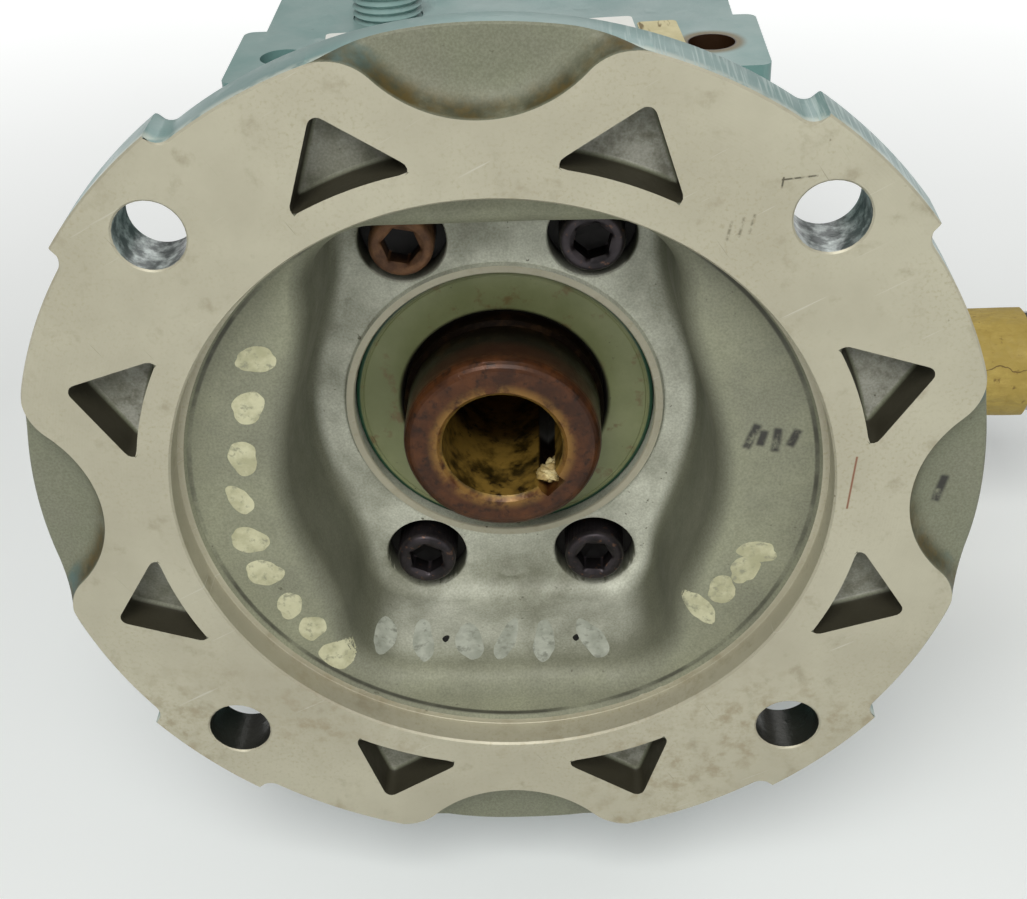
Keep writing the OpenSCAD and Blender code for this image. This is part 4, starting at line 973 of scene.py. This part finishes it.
# The shims under both covers: packs of thin hardened steel that set the bearings' play.
shim = Finish("shim_steel", Metallic=0.9, Roughness=0.35)
shim.base((200, 0.5, 0.2, 95), (120, 118, 110), (160, 158, 148))
shim.raised(shim.noise(Scale=1400.0), 0.3, 0.00005)
shim.onto("rear_cap_shims", "side_cover_shims")


# The cover bolts: hexagon heads of zinc plated steel, dulled by handling.
zinc = Finish("zinc_steel", Metallic=0.85)
zinc.base((180, 0.5, 0.2, 97), (104, 104, 100), (142, 142, 136))
zinc.tint((520, 0.66, 0.06, 98), (94, 74, 54))
zinc.vary("Roughness", (320, 0.5, 0.3, 99), 0.34, 0.55)
zinc.grain(1500, 500, 0.3, 0.00005)
zinc.onto("rear_cap_bolts", "side_cover_bolts")


# The labels: two blank paper stickers on the housing's top, the white one clean and the
# narrow one yellowed and scuffed.
white = Finish("white_paper", Roughness=0.55)
white.base((90, 0.5, 0.2, 101), (222, 223, 215), (236, 236, 230))
white.tint((500, 0.72, 0.04, 102), (180, 178, 160))
white.grain(900, 200, 0.15, 0.00004)
white.onto("white_label")
yellow = Finish("yellow_paper", Roughness=0.6)
yellow.base((200, 0.5, 0.2, 104), (190, 180, 134), (212, 202, 158))
yellow.tint(yellow.group(scratches, Turn=0.2, Amount=0.6, Seed=105, Fineness=2), (120, 104, 62))
yellow.grain(900, 200, 0.2, 0.00004)
yellow.onto("yellow_label")


# The nameplate: thin aluminium, brushed along its length and left blank, on drive pins.
plate = Finish("plate_aluminium", Metallic=0.9)
brushed = plate.noise((1, 12, 900), Scale=4.0, Detail=4.0)
plate.base(brushed, (150, 153, 154), (196, 198, 198))
plate.tint((90, 0.6, 0.3, 107), (150, 152, 149))
plate.vary("Roughness", brushed, 0.3, 0.5)
plate.raised(brushed, 0.25, 0.00003)
plate.onto("nameplate", "nameplate_pins")


# The output shaft: ground steel with an open keyway, bright and lightly oiled where the
# paper doesn't cover it. The key, spacer and bearing rings inside are the same steel.
ground = Finish("ground_steel", Metallic=0.92)
ground.base((70, 0.5, 0.25, 111), (142, 143, 142), (172, 173, 171))
ground.tint((330, 0.68, 0.07, 112), (118, 104, 80))
grinding = {"Vector": ground.place, "Scale": 900.0, "Distortion": 2.0, "Detail": 2.0}
grinding = ground.put("TexWave", grinding, "Fac", wave_type="BANDS", bands_direction="X")
ground.vary("Roughness", grinding, 0.24, 0.36)
ground.raised(grinding, 0.15, 0.00001)
bearings = ("worm_front", "worm_rear", "output_left", "output_right")
ground.onto("output_shaft", "wheel_key", "wheel_spacer", "input_seal_spring", "output_seal_spring",
            *[f"{bearing}_{part}" for bearing in bearings for part in ("cup", "cone", "rollers")])


# The output seal: plain black-green rubber, pressed into the boss round the shaft.
boss = Finish("boss_rubber", Roughness=0.45)
boss.base((120, 0.5, 0.2, 115), (58, 62, 46), (84, 88, 66))
boss.grain(1300, 400, 0.25, 0.00006)
boss.onto("output_seal")


# The bearing cages: pressed sheet steel, passivated a pale gold.
cages = Finish("cage_steel", Metallic=0.8, Roughness=0.4)
cages.base((240, 0.5, 0.2, 117), (140, 122, 78), (172, 154, 106))
cages.grain(1400, 500, 0.2, 0.00004)
cages.onto(*[f"{bearing}_cage" for bearing in bearings])


# The wheel: a bronze rim with hobbed teeth, burnished by the worm, on an iron hub.
WHEEL_AXIS = (0, 0.130, -0.0508)
bronze = Finish("wheel_bronze", Metallic=0.9)
bronze.base((150, 0.5, 0.2, 121), (166, 126, 62), (198, 160, 92))
bronze.tint(bronze.ramp(bronze.from_axis(0, WHEEL_AXIS), 0.0345, 0.0330), (112, 84, 44))
bronze.vary("Roughness", (300, 0.5, 0.3, 122), 0.26, 0.44)
bronze.grain(1300, 500, 0.25, 0.00005)
bronze.onto("wheel_rim")
hub = Finish("hub_iron", Metallic=0.3, Roughness=0.55)
hub.base((110, 0.5, 0.2, 125), (88, 90, 86), (116, 117, 112))
hub.grain(700, 260, 0.5, 0.00012)
hub.onto("wheel_hub")


# The paper wrap: waxed kraft paper wound nearly twice round the shaft to keep rust and
# knocks off, its free edge lying along the upper front.
WRAP_FROM, WRAP_TO = 66.0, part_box("shaft_wrap")[1][0] / MM
SHAFT_Y, SHAFT_Z, INNER_R, PAPER = 130.0, -50.8, 13.0, 0.45
WOUND, LAST_EDGE, TUCKED = 1.83, 58, 0.25
CRACK_Z = -0.0408


def wrap_rows():
    """The paper as one closed loop of points for each place along the shaft: a spiral
    whose radius grows by one thickness a turn, out on its outer face and back on its
    inner one, pressed into long flats and shallow wrinkles."""
    turn = np.linspace(0, 2 * np.pi * WOUND, 420)
    angle = turn + np.radians(LAST_EDGE) - turn[-1]
    x = np.linspace(WRAP_FROM, WRAP_TO, 90)[:, None]
    flats = np.abs(np.sin(angle * 4.5 + 0.5)) * 0.22 + np.abs(np.sin(angle * 2.0 + 1.1)) * 0.08
    wrinkle = (0.08 * np.sin(x / 2.3 + 3 * np.sin(angle * 2))
               + 0.07 * np.sin(x / 5.3 + angle * 5 + np.sin(x / 3.7)))
    end = np.clip((turn - turn[-1] + TUCKED) / TUCKED, 0, 1)
    inner = INNER_R + PAPER * turn / (2 * np.pi) - flats * (1 - end) - 0.1 * end + 0.5 * wrinkle
    r = np.concatenate([inner + PAPER * 0.92, inner[:, ::-1]], 1)
    a = np.concatenate([angle, angle[::-1]])[None, :]
    rows = np.stack([x + 0 * a, SHAFT_Y - r * np.cos(a), SHAFT_Z + r * np.sin(a)], -1)
    n = len(turn)
    k = np.arange(n - 1)
    cap = np.stack([k, k + 1, 2 * n - 2 - k, 2 * n - 1 - k], 1)
    last = (len(x) - 1) * 2 * n
    return rows.reshape(-1, 3), np.concatenate([grid_faces(len(x), 2 * n), cap, cap + last]), 0


kraft = Finish("kraft_paper", Roughness=0.62)
fibre = kraft.noise((1, 2.6, 2.6), Scale=330.0, Detail=6.0, Roughness=0.65)
kraft.base(fibre, (140, 112, 40), (208, 184, 100))
kraft.tint((110, 0.5, 0.2, 131), (168, 144, 66))
kraft.tint((360, 0.64, 0.05, 132), (126, 100, 44))
wander = kraft.maths("MULTIPLY_ADD", kraft.noise(Scale=95.0, Detail=4.0), 0.009, kraft.along(2))
off = kraft.maths("ABSOLUTE", kraft.maths("SUBTRACT", wander, CRACK_Z))
kraft.tint(kraft.ramp(off, 0.00022, 0.00004), (104, 80, 30))
crease = kraft.put("TexVoronoi", {"Vector": kraft.place, "Scale": 260.0, "Randomness": 1.0},
                   feature="DISTANCE_TO_EDGE")
crease = kraft.put("MapRange", {0: crease, 1: 0.0, 2: 0.45})
kraft.raised(kraft.maths("ADD", crease, fibre), 0.75, 0.0003)
make_piece("paper_wrap", [wrap_rows()], [kraft], "output", ["shaft_wrap"], sharp=50)
